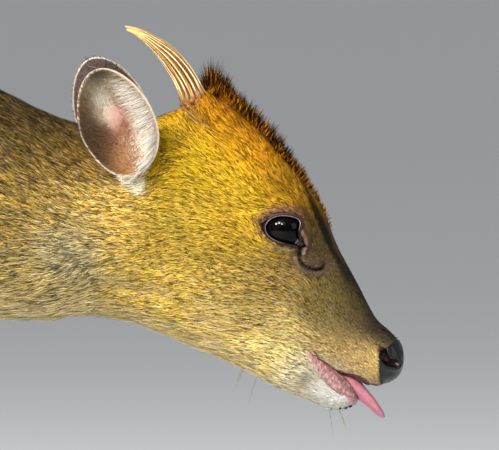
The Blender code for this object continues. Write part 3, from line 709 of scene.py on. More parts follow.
def colour_points(mesh, name, colours):
    values = np.column_stack([colours, np.ones(len(colours))])
    layer = mesh.attributes.new(name, "FLOAT_COLOR", "POINT")
    layer.data.foreach_set("color", values.astype(np.float32).ravel())


def number_points(mesh, name, values):
    layer = mesh.attributes.new(name, "FLOAT", "POINT")
    layer.data.foreach_set("value", np.asarray(values, np.float32))


def metres(p):
    """Millimetre points as one row of metres for a mesh."""
    return ((p + np.array(OFFSET)) * MM).astype(np.float32).ravel()


def smooth_rows(rows, steps):
    """The rows with a Catmull-Rom curve run through each of their columns."""
    rows = np.array(rows, float)
    ends = np.vstack([2 * rows[0] - rows[1], rows, 2 * rows[-1] - rows[-2]])
    made = []
    for i in range(len(rows) - 1):
        a, b, c, d = ends[i : i + 4]
        for t in np.arange(steps) / steps:
            bend, twist = 2 * a - 5 * b + 4 * c - d, 3 * b - a - 3 * c + d
            made.append(0.5 * (2 * b + (c - a) * t + bend * t**2 + twist * t**3))
    made.append(rows[-1])
    return made


def loft_into(bm, rings):
    """A closed skin over rings of points in millimetres, bridged one to the next and capped."""
    edges, loops = [], []
    for ring in rings:
        verts = [bm.verts.new(to_m(p)) for p in ring]
        loops.append(verts)
        edges.append([bm.edges.new((verts[i - 1], verts[i])) for i in range(len(verts))])
    made = []
    for first, second in zip(edges, edges[1:]):
        made += bmesh.ops.bridge_loops(bm, edges=first + second)["faces"]
    made += [bm.faces.new(loops[0]), bm.faces.new(loops[-1])]
    bmesh.ops.recalc_face_normals(bm, faces=made)


def path_rings(rows, sides, shape=lambda angle, share: 1.0):
    """Rings square to a path. Each row is x, y, z, half depth and half width."""
    rings = []
    for i, row in enumerate(rows):
        before, after = rows[max(i - 1, 0)], rows[min(i + 1, len(rows) - 1)]
        way = Vector(after[:3]) - Vector(before[:3])
        fore = way.cross(Vector((0, 1, 0))).normalized()
        across = way.cross(fore).normalized()
        ring = []
        for k in range(sides):
            angle = math.tau * k / sides
            r = shape(angle, i / (len(rows) - 1))
            spoke = fore * row[3] * math.cos(angle) + across * row[4] * math.sin(angle)
            ring.append(Vector(row[:3]) + spoke * r)
        rings.append(ring)
    return rings


def flesh_solids():
    """The solids of the flesh with the tail, as one bmesh, a little fuller, the crown cut to its line."""
    bm = bmesh.new()
    for name in FLESH:
        part = bmesh.new()
        part.from_mesh(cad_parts[name].data)
        bmesh.ops.remove_doubles(part, verts=part.verts, dist=1e-6)
        part.normal_update()
        pushes = [vert.normal * SKIN_PUSH * MM for vert in part.verts]
        for vert, push in zip(part.verts, pushes):
            vert.co += push
            x, y, z = vert.co / MM - OFFSET
            if name == "head" and -48 < x < 43 and abs(y) < 16:
                vert.co.z = min(z, read_off(CROWN_LINE, x) - y * y / 60) * MM
        mesh = bpy.data.meshes.new("part")
        part.to_mesh(mesh)
        part.free()
        bm.from_mesh(mesh)
        bpy.data.meshes.remove(mesh)
    tail = [(x, 0, z, depth, width) for x, z, depth, width in TAIL_CORE]
    loft_into(bm, path_rings(smooth_rows(tail, 3), 20))
    return bm


def refine_face(bm):
    """Smaller faces on the muzzle and round the eyes, where the finest forms are."""
    for least in (1.5, 1.0):
        x, y, z = to_mm([vert.co[:] for vert in bm.verts]).T
        fine = (x > 32) & (z < 297)
        fine |= (np.abs(x - 22) < 24) & (np.abs(z - 351) < 20) & (np.abs(y) > 12)
        bm.verts.index_update()
        edges = [
            edge
            for edge in bm.edges
            if fine[edge.verts[0].index] and fine[edge.verts[1].index] and edge.calc_length() > least * MM
        ]
        bmesh.ops.subdivide_edges(bm, edges=edges, cuts=1, smooth=0.0)
        bmesh.ops.triangulate(bm, faces=[face for face in bm.faces if len(face.verts) > 3])


def make_skin():
    """One skin over the head, neck, trunk, tail and legs, set below the tips of the coat."""
    skin = mesh_object("skin", flesh_solids())
    remesh = skin.modifiers.new("one_skin", "REMESH")
    remesh.mode = "VOXEL"
    remesh.voxel_size = SKIN_VOXEL * MM
    soften = skin.modifiers.new("soften", "SMOOTH")
    soften.factor = 0.5
    soften.iterations = 4
    thin = skin.modifiers.new("thin", "DECIMATE")
    thin.ratio = SKIN_KEPT
    apply_modifiers(skin)
    mesh = skin.data
    bm = bmesh.new()
    bm.from_mesh(mesh)
    loose = [v for v in bm.verts if all(len(w.link_edges) < 4 for e in v.link_edges for w in e.verts)]
    bmesh.ops.delete(bm, geom=loose, context="VERTS")
    refine_face(bm)
    bm.to_mesh(mesh)
    bm.free()
    mesh.shade_smooth()
    p, n = to_mm(points_of(mesh)), normals_of(mesh)
    p = sculpted(p - n * (coat_depth(p) + SKIN_UNDER)[:, None], n)
    mesh.vertices.foreach_set("co", metres(p))
    mesh.update()
    mesh.shade_smooth()
    colour_points(mesh, "skin_colour", skin_colour(p, normals_of(mesh)))
    number_points(mesh, "wet", np.maximum(nose_pad(p), lips(p)))
    number_points(mesh, "nose", nose_pad(p))
    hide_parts("tail", *FLESH)
    return skin


def surface_of(obj):
    """The triangles of a mesh as arrays: corners, areas, and points and normals by vertex."""
    mesh = obj.data
    mesh.calc_loop_triangles()
    tris = np.empty(len(mesh.loop_triangles) * 3, np.int32)
    mesh.loop_triangles.foreach_get("vertices", tris)
    tris = tris.reshape(-1, 3)
    p, n = to_mm(points_of(mesh)), normals_of(mesh)
    a, b, c = p[tris[:, 0]], p[tris[:, 1]], p[tris[:, 2]]
    area = np.linalg.norm(np.cross(b - a, c - a), axis=1) / 2
    return tris, area, p, n


def roots_on(surface, close):
    """Points spread over a surface, close(points, normals) to a square millimetre, with their normals."""
    tris, area, p, n = surface
    want = area * close(p[tris].mean(axis=1), unit(n[tris].mean(axis=1)))
    count = np.floor(want + rng.random(len(want))).astype(int)
    pick = np.repeat(np.arange(len(tris)), count)
    r1, r2 = np.sqrt(rng.random(len(pick))), rng.random(len(pick))
    w = np.stack([1 - r1, r1 * (1 - r2), r1 * r2], axis=1)[:, :, None]
    at = (p[tris[pick]] * w).sum(axis=1)
    out = unit((n[tris[pick]] * w).sum(axis=1))
    flat = unit(np.cross(p[tris[:, 1]] - p[tris[:, 0]], p[tris[:, 2]] - p[tris[:, 0]]))[pick]
    sound = np.sum(flat * out, axis=1) > 0.5
    return at[sound], out[sound]


def tufts(
    name, root, out, way, length, width, lift, colour, plan, finish, sink=0.35, tips=None, slot="coat"
):
    """Flat tapered tufts: each is a blade that bends over along the skin, with its colour in its points."""
    count = len(root)
    side = unit(np.cross(way, out))
    length, width, lift = (np.broadcast_to(v, count)[:, None] for v in (length, width, lift))
    base = root - out * sink
    middle = base + way * length * 0.5 * np.cos(lift) + out * length * 0.5 * np.sin(lift)
    tip = base + way * length * np.cos(lift * 0.55) + out * length * np.sin(lift * 0.55)
    foot, half = side * width * 0.36, side * width * 0.5
    points = np.stack([base - foot, base + foot, middle - half, middle + half, tip], axis=1)
    corners = np.array([0, 1, 3, 0, 3, 2, 2, 3, 4])
    index = (np.arange(count)[:, None] * 5 + corners).ravel().astype(np.int32)
    mesh = bpy.data.meshes.new(name)
    mesh.vertices.add(count * 5)
    mesh.vertices.foreach_set("co", metres(points))
    mesh.loops.add(count * 9)
    mesh.loops.foreach_set("vertex_index", index)
    mesh.polygons.add(count * 3)
    mesh.polygons.foreach_set("loop_start", np.arange(0, count * 9, 3, dtype=np.int32))
    mesh.update(calc_edges=True)
    tips = colour if tips is None else tips
    # Painted shade: each tuft's root is darker than its middle, as the shade deep in the coat, less so in
    # pale hair and on the muzzle.
    pale = step(0.5, 0.75, colour[:, 2] / (colour[:, 0] + 1e-6))
    pale = np.maximum(pale, 0.8 * step(24, 44, root[:, 0]))
    shaded_roots = colour * (0.42 + 0.34 * pale)[:, None]
    shades = np.stack([shaded_roots, shaded_roots, colour, colour, tips], axis=1).reshape(-1, 3)
    colour_points(mesh, "coat_colour", np.clip(shades, 0, 1))
    spots = np.array([(0.0005, 0.0), (0.0025, 0.0), (0.0, 0.0016), (0.003, 0.0016), (0.0015, 0.003)])
    sheet = mesh.uv_layers.new(name="OFBake")
    sheet.data.foreach_set("uv", (plan[:, None, :] + spots[corners][None]).astype(np.float32).ravel())
    mesh.shade_smooth()
    obj = new_object(name, mesh)
    mesh.materials.append(finish)
    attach(obj, "root")
    return obj


def streaks(p, way, width, reach):
    """Noise drawn out along the lie of the coat, so that it runs in fine strands."""
    total = 0
    for share in (-1.0, -0.6, -0.2, 0.2, 0.6, 1.0):
        total = total + wander((p + way * reach * share) / width, 1.0, 61)
    return total / 1.75


def ticked(colour, dark_share, p, way, width, length):
    """The colours of tufts and of their tips: banded hairs in fine strands, many tips dark and some pale."""
    count = len(colour)
    x, z = p[:, 0], p[:, 2]
    neck, muzzle = step(-50, -100, x) * step(-230, -170, x), step(24, 40, x)
    broad = width * (1.05 + 0.35 * neck + 0.1 * muzzle)
    strand = np.clip(streaks(p, way, broad[:, None], (length * 0.6)[:, None]), -1.6, 1.6)
    white = whiteness(colour)
    trunk = step(-170, -230, x)
    nape = step(-60, -100, x) * step(345, 385, z) * (1 - 0.6 * trunk)
    amount = 0.44 - 0.34 * white - 0.14 * trunk + 0.14 * neck
    light = 1 + (0.22 - 0.1 * white) * rng.normal(0, 1, count) + amount * strand
    light = np.clip(light, 0.15, 2.3)[:, None]
    hue = 1 + rng.normal(0, 0.05, (count, 3))
    grey = (rng.random(count) < 0.22)[:, None] * rng.uniform(0.2, 0.7, (count, 1))
    grey = grey * (1 - 0.85 * step(325, 350, z) * step(-70, -50, x))[:, None]
    faded = colour.mean(axis=1, keepdims=True) * np.array([1.25, 1.16, 1.05])
    middle = (colour + (faded - colour) * grey) * light * hue
    draw = rng.random(count) + 0.34 * strand
    dark = draw < dark_share * (1 - 0.97 * white)
    pale = draw > 0.92 - 0.14 * nape
    bright = np.where(pale, 1.65 - 0.5 * muzzle + 1.6 * nape, 1.12)
    tip = middle * np.where(dark, 0.12, bright)[:, None]
    middle = middle * np.where(dark & (rng.random(count) < 0.6), 0.36, 1.0)[:, None]
    return middle, tip


def coat_over(skin, finish):
    """The whole short coat, as pieces of a size that each region's tufts fill."""

    def close(p, n):
        return coat_close(p) * (1 - step(0.25, 0.75, bare(p)))

    root, out = roots_on(surface_of(skin), close)
    count = len(root)
    x, z = root[:, 0], root[:, 2]
    length = coat_length(root) * rng.uniform(0.72, 1.22, count) * (1 - 0.55 * bare(root))
    width = coat_width(root) * rng.uniform(0.75, 1.25, count)
    way = coat_lie(root, out)
    way = unit(way + np.cross(out, way) * rng.normal(0, 0.16, count)[:, None])
    lift = rng.normal(0.27, 0.10, count).clip(0.05, 0.7)
    throat = step(-0.25, -0.7, out[:, 2]) * step(40, 20, x) * step(-230, -190, x)
    lift = lift + 0.25 * throat * rng.random(count)
    length = length * (1 + 0.45 * throat)
    dark_share = 0.33 + 0.03 * step(30, 55, x) + 0.14 * step(-70, -110, x) * step(360, 390, z)
    dark_share = dark_share * (1 - 0.15 * step(-150, -200, x)) * (1 - 0.8 * step(-0.3, -0.8, out[:, 2]))
    colour, tips = ticked(markings(root, out), dark_share, root, way, coat_width(root), coat_length(root))
    legs = (z < 262) & (x < -150)
    regions = (
        ("coat_face", x > 18),
        ("coat_cheeks", (x <= 18) & (x > -62)),
        ("coat_neck", (x <= -62) & (x > -190)),
        ("coat_trunk", (x <= -190) & ~legs),
        ("coat_legs", legs),
    )
    plan = skin_plan(root)
    for name, inside in regions:
        chosen = rng.permutation(np.nonzero(inside)[0])
        shares = np.array_split(chosen, max(1, math.ceil(len(chosen) / PIECE_TUFTS)))
        for number, part in enumerate(shares, 1):
            given = (each[part] for each in (root, out, way, length, width, lift, colour, plan))
            tufts(f"{name}_{number}", *given, finish, tips=tips[part])


def crown_tuft(skin, finish):
    """The dark-tipped hair that stands up between the pedicles and runs down the forehead."""

    def close(p, n):
        x, z = p[:, 0], p[:, 2]
        near = off_middle(p, 15, 9) * step(1, 5, z - 375) * step(-29, -24, x) * step(36, 24, x)
        brow = off_middle(p, 10, 5) * step(26, 34, x) * step(48, 40, x) * step(350, 368, z)
        return 2.6 * np.maximum(near, 0.6 * brow) * step(-0.2, 0.3, n[:, 2] + n[:, 0])

    root = roots_on(surface_of(skin), close)[0]
    count = len(root)
    x, y = root[:, 0], root[:, 1]
    lock = np.stack([wander(root, 4.0, seed) for seed in (71, 72, 73)], axis=1)
    lean = np.stack([-0.05 + 0.65 * step(-30, 30, x), y * 0.035, np.ones(count)], axis=1)
    way = unit(lean + 0.32 * lock + rng.normal(0, 0.13, (count, 3)))
    length = (9.0 + 6.5 * step(-12, -22, x) - 4.5 * step(5, 38, x)) * rng.uniform(0.4, 1.2, count)
    length = length * (1 - 0.4 * off_middle(root, 5, 14)) * (1 + 0.35 * lock[:, 0])
    length = length * (1 - 0.35 * step(30, 44, x))
    shade = (1 - 0.35 * step(26, 40, x)) * rng.normal(1, 0.2, count)
    colour = screen((178, 110, 6)) * shade[:, None]
    dark = rng.random(count) < 0.96 - 0.35 * off_middle(root, 6, 13) - 0.6 * step(26, 36, x)
    colour = np.where((dark & (rng.random(count) < 0.72))[:, None], screen((48, 32, 16)), colour)
    tips = np.where(dark[:, None], screen((26, 19, 12)), colour * 1.1)
    facing = unit(np.cross(np.array([0.0, 1.0, 0.0]) + rng.normal(0, 0.5, (count, 3)), way))
    tufts("crown_tuft", root, facing, way, length, 0.5, 0.1, colour, skin_plan(root), finish, tips=tips)


def make_tail_hair(skin, finish):
    """The tail's longer hair, chestnut on top and white below, drawn down to a point."""

    def close(p, n):
        return 0.9 * step(-700, -712, p[:, 0]) * (p[:, 2] < 445)

    root, out = roots_on(surface_of(skin), close)
    keep = (side_distance(root, [row[:2] for row in TAIL_CORE]) < 14) & (np.abs(root[:, 1]) < 13)
    root, out = root[keep], out[keep]
    count, z = len(root), root[:, 2]
    spread = out * np.array([0.25, 0.38, 0.0]) + rng.normal(0, 0.05, (count, 3))
    way = unit(np.array([-0.05, 0, -1.0]) + spread)
    length = rng.uniform(20, 30, count) * (1 - 0.25 * step(420, 440, z))
    length = np.minimum(length, np.maximum(z - TAIL_HAIR_END, 4))
    colour = markings(root, out) * rng.normal(1, 0.12, count)[:, None]
    tufts("tail_hair", root, out, way, length, 1.3, 0.22, colour, skin_plan(root), finish, slot="tail")


def make_whiskers(finish):
    """A few long thin whiskers on the lips, the chin and under the jaw."""
    root, way, length = [], [], []
    for side in (RIGHT, LEFT):
        for x, y, z, dx, dy, dz, reach in (
            (70, 13, 281, 0.2, 0.9, -0.4, 17),
            (66, 13, 278, 0.1, 0.9, -0.5, 20),
            (61, 13.5, 282, -0.1, 0.9, -0.5, 18),
            (57, 14, 286, -0.2, 0.9, -0.3, 16),
            (50, 7, 256, 0.3, 0.5, -0.8, 17),
            (45, 8, 256, 0.1, 0.5, -0.9, 20),
            (5, 10, 279, -0.25, 0.2, -0.95, 24),
            (-2, 9, 282, -0.4, 0.15, -0.9, 20),
            (22, 31, 371, 0.3, 0.8, 0.4, 15),
        ):
            root.append((x, y * side, z))
            way.append((dx, dy * side, dz))
            length.append(reach)
    root, way = np.array(root, float), unit(np.array(way, float))
    out = unit(np.cross(way, np.array([0.2, 0.1, 1.0])))
    colour = plain((120, 104, 78), root)
    length = np.array(length, float)
    tufts("whiskers", root, out, way, length, 0.28, 0.12, colour, skin_plan(root), finish, sink=0.5)


def add(tree, kind, feeds=(), **values):
    """A new node of a kind, with outputs that feed some of its inputs and plain values on others."""
    node = tree.nodes.new("ShaderNode" + kind)
    for label, source in dict(feeds).items():
        tree.links.new(source, node.inputs[label])
    for label, value in values.items():
        node.inputs[label.replace("_", " ")].default_value = value
    return node


def make_mottle():
    """A shared effect: breaks up a colour in light and dark, and gives fine grain as height."""
    group = bpy.data.node_groups.new("mottle", "ShaderNodeTree")
    for label, kind, value in (
        ("Colour", "NodeSocketColor", (0.5, 0.5, 0.5, 1)),
        ("Size", "NodeSocketFloat", 200.0),
        ("Strength", "NodeSocketFloat", 0.3),
        ("Grain Size", "NodeSocketFloat", 1200.0),
    ):
        socket = group.interface.new_socket(label, in_out="INPUT", socket_type=kind)
        socket.default_value = value
    for label, kind in (("Colour", "NodeSocketColor"), ("Height", "NodeSocketFloat")):
        group.interface.new_socket(label, in_out="OUTPUT", socket_type=kind)
    given = group.nodes.new("NodeGroupInput").outputs
    put = group.nodes.new("NodeGroupOutput").inputs
    place = add(group, "TexCoord").outputs["Object"]
    broad = add(group, "TexNoise", {"Vector": place, "Scale": given["Size"]}, Detail=4.0)
    fine = add(group, "TexNoise", {"Vector": place, "Scale": given["Grain Size"]}, Detail=3.0)
    ends = {"From_Min": 0.3, "From_Max": 0.7, "To_Min": -1.0}
    spread = add(group, "MapRange", {"Value": broad.outputs["Fac"]}, **ends)
    amount = add(group, "Math", {0: spread.outputs["Result"], 1: given["Strength"]})
    amount.operation = "MULTIPLY_ADD"
    amount.inputs[2].default_value = 1.0
    scaled = add(group, "VectorMath", {0: given["Colour"]})
    scaled.operation = "SCALE"
    group.links.new(amount.outputs["Value"], scaled.inputs["Scale"])
    group.links.new(scaled.outputs["Vector"], put["Colour"])
    group.links.new(fine.outputs["Fac"], put["Height"])
    return group


def finish(name, rough, **sockets):
    """A named Principled material and its shader."""
    material = bpy.data.materials.new(name)
    material.use_nodes = True
    shader = material.node_tree.nodes["Principled BSDF"]
    shader.inputs["Roughness"].default_value = rough
    for label, value in sockets.items():
        shader.inputs[label.replace("_", " ")].default_value = value
    return material, shader


def mottled(tree, shader, mottle, colour, **values):
    """Feeds a colour through the shared mottle into the shader."""
    effect = add(tree, "Group")
    effect.node_tree = mottle
    for label, value in values.items():
        effect.inputs[label.replace("_", " ")].default_value = value
    tree.links.new(colour, effect.inputs["Colour"])
    tree.links.new(effect.outputs["Colour"], shader.inputs["Base Color"])
    return effect


def relieved(tree, shader, height, strength, distance):
    """Gives the shader a fine relief, as deep as the distance in millimetres."""
    relief = add(tree, "Bump", {"Height": height}, Strength=strength, Distance=distance * MM)
    tree.links.new(relief.outputs["Normal"], shader.inputs["Normal"])
    return relief


def read_points(tree, name):
    """An attribute of the piece's points."""
    node = add(tree, "Attribute")
    node.attribute_name = name
    return node.outputs


def painted(name, rough, mottle, size, strength, grain, bump, distance, points="skin_colour", **sockets):
    """A material coloured by the piece's points and the shared mottle, with the mottle's grain as relief."""
    material, shader = finish(name, rough, **sockets)
    tree = material.node_tree
    colour = read_points(tree, points)["Color"]
    effect = mottled(tree, shader, mottle, colour, Size=size, Strength=strength, Grain_Size=grain)
    relief = relieved(tree, shader, effect.outputs["Height"], bump, distance)
    return material, shader, effect, relief


def skin_finish(mottle):
    """Skin, with fine cells and a wet film on the nose pad, and a wet film on the lips."""
    material, shader, effect, relief = painted(
        "skin", 0.7, mottle, 160, 0.25, 1500, 0.5, 0.5, Specular_IOR_Level=0.2, Coat_Roughness=0.08
    )
    tree = material.node_tree
    place = add(tree, "TexCoord").outputs["Object"]
    cells = add(tree, "TexVoronoi", {"Vector": place}, Scale=1500)
    raised = add(tree, "Math", {1: cells.outputs["Distance"]})
    raised.operation = "SUBTRACT"
    raised.inputs[0].default_value = 1.0
    feeds = {
        "Factor": read_points(tree, "nose")["Fac"],
        "A": effect.outputs["Height"],
        "B": raised.outputs["Value"],
    }
    tree.links.new(add(tree, "Mix", feeds).outputs["Result"], relief.inputs["Height"])
    wet = read_points(tree, "wet")["Fac"]
    gloss = add(tree, "MapRange", {"Value": wet}, To_Min=0.62, To_Max=0.36)
    tree.links.new(gloss.outputs["Result"], shader.inputs["Roughness"])
    film = add(tree, "MapRange", {"Value": wet}, To_Max=0.26)
    tree.links.new(film.outputs["Result"], shader.inputs["Coat Weight"])
    return material


def hoof_finish(mottle):
    """Dark horn with growth rings."""
    material, shader = finish("hoof", 0.45)
    tree = material.node_tree
    place = add(tree, "TexCoord").outputs["Object"]
    rings = add(tree, "TexWave", {"Vector": place}, Scale=210, Distortion=2.0, Detail=2.0)
    rings.bands_direction = "Z"
    ramp = add(tree, "ValToRGB", {"Fac": rings.outputs["Fac"]})
    dark, pale = ramp.color_ramp.elements
    dark.color, pale.color = (0.022, 0.018, 0.016, 1), (0.042, 0.034, 0.028, 1)
    mottled(tree, shader, mottle, ramp.outputs["Color"], Size=260, Strength=0.3)
    relieved(tree, shader, rings.outputs["Fac"], 0.16, 0.3)
    return material


def make_finishes():
    """Every material of the animal, by name."""
    mottle = make_mottle()
    made = {}
    made["hair"] = painted(
        "coat_hair", 0.6, mottle, 300, 0.12, 2500, 0.05, 0.1, "coat_colour", Specular_IOR_Level=0.05
    )[0]
    made["skin"] = skin_finish(mottle)
    flesh = {"Subsurface_Weight": 0.25, "Subsurface_Scale": 0.002}
    wet_tongue = {"Coat_Weight": 0.5, "Coat_Roughness": 0.12}
    polished = {"Specular_IOR_Level": 0.3, "Coat_Weight": 0.1, "Coat_Roughness": 0.15}
    wet_eye = {"Specular_IOR_Level": 0.0, "Coat_Weight": 0.24, "Coat_Roughness": 0.01, "Coat_IOR": 1.45}
    # The mottle's size, strength and grain, then the relief's strength and depth.
    for key, name, rough, numbers, sockets in (
        ("lid", "lid_skin", 0.5, (400, 0.3, 2600, 0.4, 0.2), {"Specular_IOR_Level": 0.15}),
        ("tongue", "tongue", 0.3, (350, 0.14, 1900, 0.35, 0.35), flesh | wet_tongue),
        (
            "lip",
            "wet_lip",
            0.32,
            (1200, 0.4, 1500, 0.4, 0.4),
            flesh | {"Subsurface_Weight": 0.2, "Coat_Weight": 0.3},
        ),
        ("ear", "ear_skin", 0.6, (240, 0.18, 1500, 0.3, 0.3), flesh),
        ("antler", "antler", 0.4, (500, 0.3, 1400, 0.4, 0.25), polished),
        ("eye", "eye", 0.15, (600, 0.35, 1500, 0.0, 0.1), wet_eye),
    ):
        made[key] = painted(name, rough, mottle, *numbers, **sockets)[0]
    made["hoof"] = hoof_finish(mottle)
    return made


def place_piece(obj, material, colours=None):
    """Gives a piece its material, a place under the root empty and, where given, the colours of its points.
    """
    if colours is not None:
        colour_points(obj.data, "skin_colour", colours)
    obj.data.materials.clear()
    obj.data.materials.append(material)
    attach(obj, "root")
    return obj


def make_eye(side, material):
    """A wet dark eye: the iris is a deep brown that hardly shows round its long pupil."""
    bm = bmesh.new()
    bmesh.ops.create_uvsphere(bm, u_segments=64, v_segments=40, radius=EYE_RADIUS * MM)
    look = Vector((0.35, side * 0.93, -0.08)).normalized()
    turn = look.to_track_quat("Z", "Y").to_matrix().to_4x4()
    bmesh.ops.transform(bm, matrix=turn, verts=bm.verts)
    for vert in bm.verts:
        vert.co += look * 0.7 * MM * max(vert.co.dot(look) / (EYE_RADIUS * MM) - 0.82, 0) / 0.18 * 0.35
    middle = (EYE_AT[0], EYE_Y * side, EYE_AT[1])
    bmesh.ops.translate(bm, verts=bm.verts, vec=to_m(middle))
    eye = mesh_object("eye_ball_" + SIDE_NAMES[side], bm)
    p = to_mm(points_of(eye.data)) - np.array(middle)
    turned = p @ np.array(turn.to_3x3())
    out = np.hypot(turned[:, 0], turned[:, 1]) / EYE_RADIUS
    long = np.hypot(turned[:, 0] * 0.62, turned[:, 1]) / EYE_RADIUS
    base = lay(plain((3, 2, 2), p), ((9, 5, 3), step(0.5, 0.66, out) * step(0.86, 0.72, out)))
    base = base * (1 - step(0.42, 0.34, long) * 0.9)[:, None]
    base = lay(base, ((9, 6, 6), step(0.86, 0.93, out)))
    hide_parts("eye_" + SIDE_NAMES[side])
    place_piece(eye, material, base)


def lid_point(angle, spread, reach, side):
    """A point of the lids: an angle round the opening, a spread from it and a reach off the eye's middle."""
    edge = np.interp(angle, *lid_reach(), period=math.tau) * spread
    x, z = LID_MIDDLE[0] + edge * math.cos(angle), LID_MIDDLE[1] + edge * math.sin(angle)
    out = math.sqrt(max(reach**2 - x**2 - z**2, 9.0))
    return Vector((EYE_AT[0] + x, side * (EYE_Y + out), EYE_AT[1] + z))


def make_lids(side, material):
    """The rims of both lids as one soft ring that follows the opening, fuller above, with a fold behind."""
    bm = bmesh.new()
    loops = []
    for k in range(96):
        angle = math.tau * k / 96
        upper = max(math.sin(angle), 0) ** 0.7
        ring = []
        for spread, reach in (
            (0.95, EYE_RADIUS - 0.6),
            (0.96, EYE_RADIUS + 0.3),
            (0.975, EYE_RADIUS + 1.2),
            (0.995, EYE_RADIUS + 1.75 + 0.3 * upper),
            (1.025, EYE_RADIUS + 1.95 + 0.35 * upper),
            (1.055, EYE_RADIUS + 1.8 + 0.2 * upper),
            (1.085, EYE_RADIUS + 1.6),
            (1.125, EYE_RADIUS + 1.75 + 0.35 * upper),
            (1.17, EYE_RADIUS + 1.5 + 0.1 * upper),
            (1.22, EYE_RADIUS + 0.5),
            (1.1, EYE_RADIUS - 0.4),
        ):
            ring.append(bm.verts.new(to_m(lid_point(angle, spread, reach, side))))
        loops.append([bm.edges.new((ring[i - 1], ring[i])) for i in range(len(ring))])
    for i in range(len(loops)):
        bmesh.ops.bridge_loops(bm, edges=loops[i - 1] + loops[i])
    bmesh.ops.recalc_face_normals(bm, faces=bm.faces)
    lids = mesh_object("lids_" + SIDE_NAMES[side], bm)
    p = to_mm(points_of(lids.data))
    share, above = lid_share(p), step(-2, 5, p[:, 2] - EYE_AT[1])
    behind = step(2, -6, p[:, 0] - EYE_AT[0])
    # Painted highlight: a pale wet shine along the edge of the upper lid and at the back corner, laid into
    # the lids' colour.
    rim = fade(share - 0.995, 0.012) * np.maximum(above, 0.6 * behind) * (0.75 + 0.35 * wander(p, 2.5, 44))
    base = lay(plain((18, 11, 11), p), ((64, 40, 33), step(1.02, 1.12, share)), ((226, 200, 190), 0.7 * rim))
    place_piece(lids, material, colours=base)


def make_tear_duct(side, material):
    """The dark flesh that fills the front corner of the eye, with a few small wet beads on it."""
    bm = bmesh.new()
    forms = (
        (7.2, -5.0, 4.6, 3.2),
        (9.0, -7.2, 3.6, 3.0),
        (6.6, -7.3, 6.9, 0.75),
        (7.7, -6.2, 6.9, 0.85),
        (8.7, -7.4, 6.0, 0.8),
        (7.9, -8.1, 6.0, 0.65),
        (9.6, -8.1, 5.4, 0.7),
        (7.3, -4.6, 7.1, 0.5),
    )
    for x, z, out, size in forms:
        place = Matrix.Translation(to_m((EYE_AT[0] + x, side * (EYE_Y + out), EYE_AT[1] + z)))
        shape = Matrix.Diagonal((1.0, 0.7, 1.0, 1.0))
        bmesh.ops.create_icosphere(bm, subdivisions=3, radius=size * MM, matrix=place @ shape)
    duct = mesh_object("tear_duct_" + SIDE_NAMES[side], bm)
    p = to_mm(points_of(duct.data))
    # Painted highlight: the small beads are painted paler than the flesh, as sparkle on the wet corner over
    # the lamps' own highlights.
    sparkle_bead = np.repeat([size < 1 for *_, size in forms], len(p) // len(forms))[:, None]
    shade = 0.5 + 0.5 * wander(p, 1.2, 41)
    base = screen((20, 10, 9)) + (screen((30, 16, 14)) + 0.22 * sparkle_bead) * (shade**2)[:, None]
    place_piece(duct, material, base)


def make_lower_lip(material):
    """The bare pink edge of the lower lip, from one corner of the mouth round the front to the other."""
    bm = bmesh.new()
    half = smooth_rows(LOWER_LIP, 10)
    rows = [(x, -y, z, thick, tall) for x, y, z, thick, tall in half] + [tuple(row) for row in half[-2::-1]]
    rings = []
    for i, (x, y, z, thick, tall) in enumerate(rows):
        before, after = rows[max(i - 1, 0)], rows[min(i + 1, len(rows) - 1)]
        way = Vector(after[:3]) - Vector(before[:3])
        slope = Vector(MOUTH_UP)
        across = (slope - way * slope.dot(way) / way.dot(way)).normalized()
        out = way.cross(across).normalized()
        ring = []
        for k in range(28):
            angle = math.tau * k / 28
            ripple = 1 + 0.03 * math.sin(5 * angle + 1.1 * i) + 0.02 * math.sin(8 * angle - 2.3 * i)
            spoke = out * thick * math.cos(angle) + across * tall * math.sin(angle)
            ring.append(Vector((x, y, z)) + spoke * ripple)
        rings.append(ring)
    loft_into(bm, rings)
    lip = mesh_object("lower_lip", bm)
    p = to_mm(points_of(lip.data))
    speck = step(-0.1, 0.5, wander(p, 0.7, 51))
    fleck = step(0.3, 0.6, wander(p * np.array([1, 1, 0.6]), 0.9, 52))
    # Painted shade: the top of the lip is darker towards its rear, where it meets the tongue.
    shaded_brim = p[:, 2] - read_off([(row[0], row[2]) for row in LOWER_LIP], p[:, 0])
    base = lay(
        plain((122, 78, 74), p),
        ((206, 168, 164), 0.5 * speck),
        ((104, 50, 52), 0.6 * fleck),
        ((96, 52, 54), 0.75 * step(2.0, 3.6, shaded_brim) * step(57, 50, p[:, 0])),
    )
    place_piece(lip, material, base)


def make_chin_warts(material, tree):
    """A few small dark warts under the front of the chin, each half sunk in the skin."""
    bm = bmesh.new()
    for x, y, size in (
        (56.5, 2.6, 1.3),
        (56.3, -2.8, 1.35),
        (53.6, 4.6, 1.1),
        (53.8, -4.4, 1.2),
        (50.6, -5.6, 0.9),
        (50.0, 5.2, 0.9),
    ):
        hit = tree.ray_cast(to_m((x, y, 200)), Vector((0, 0, 1)))[0]
        if hit is None:
            continue
        place = Matrix.Translation(hit + Vector((0, 0, 0.1 * MM)))
        bmesh.ops.create_icosphere(bm, subdivisions=3, radius=size * MM, matrix=place)
    warts = mesh_object("chin_warts", bm)
    p = to_mm(points_of(warts.data))
    shade = 0.5 + 0.5 * wander(p, 0.9, 43)
    place_piece(warts, material, colours=screen((22, 17, 16)) + 0.04 * shade[:, None])


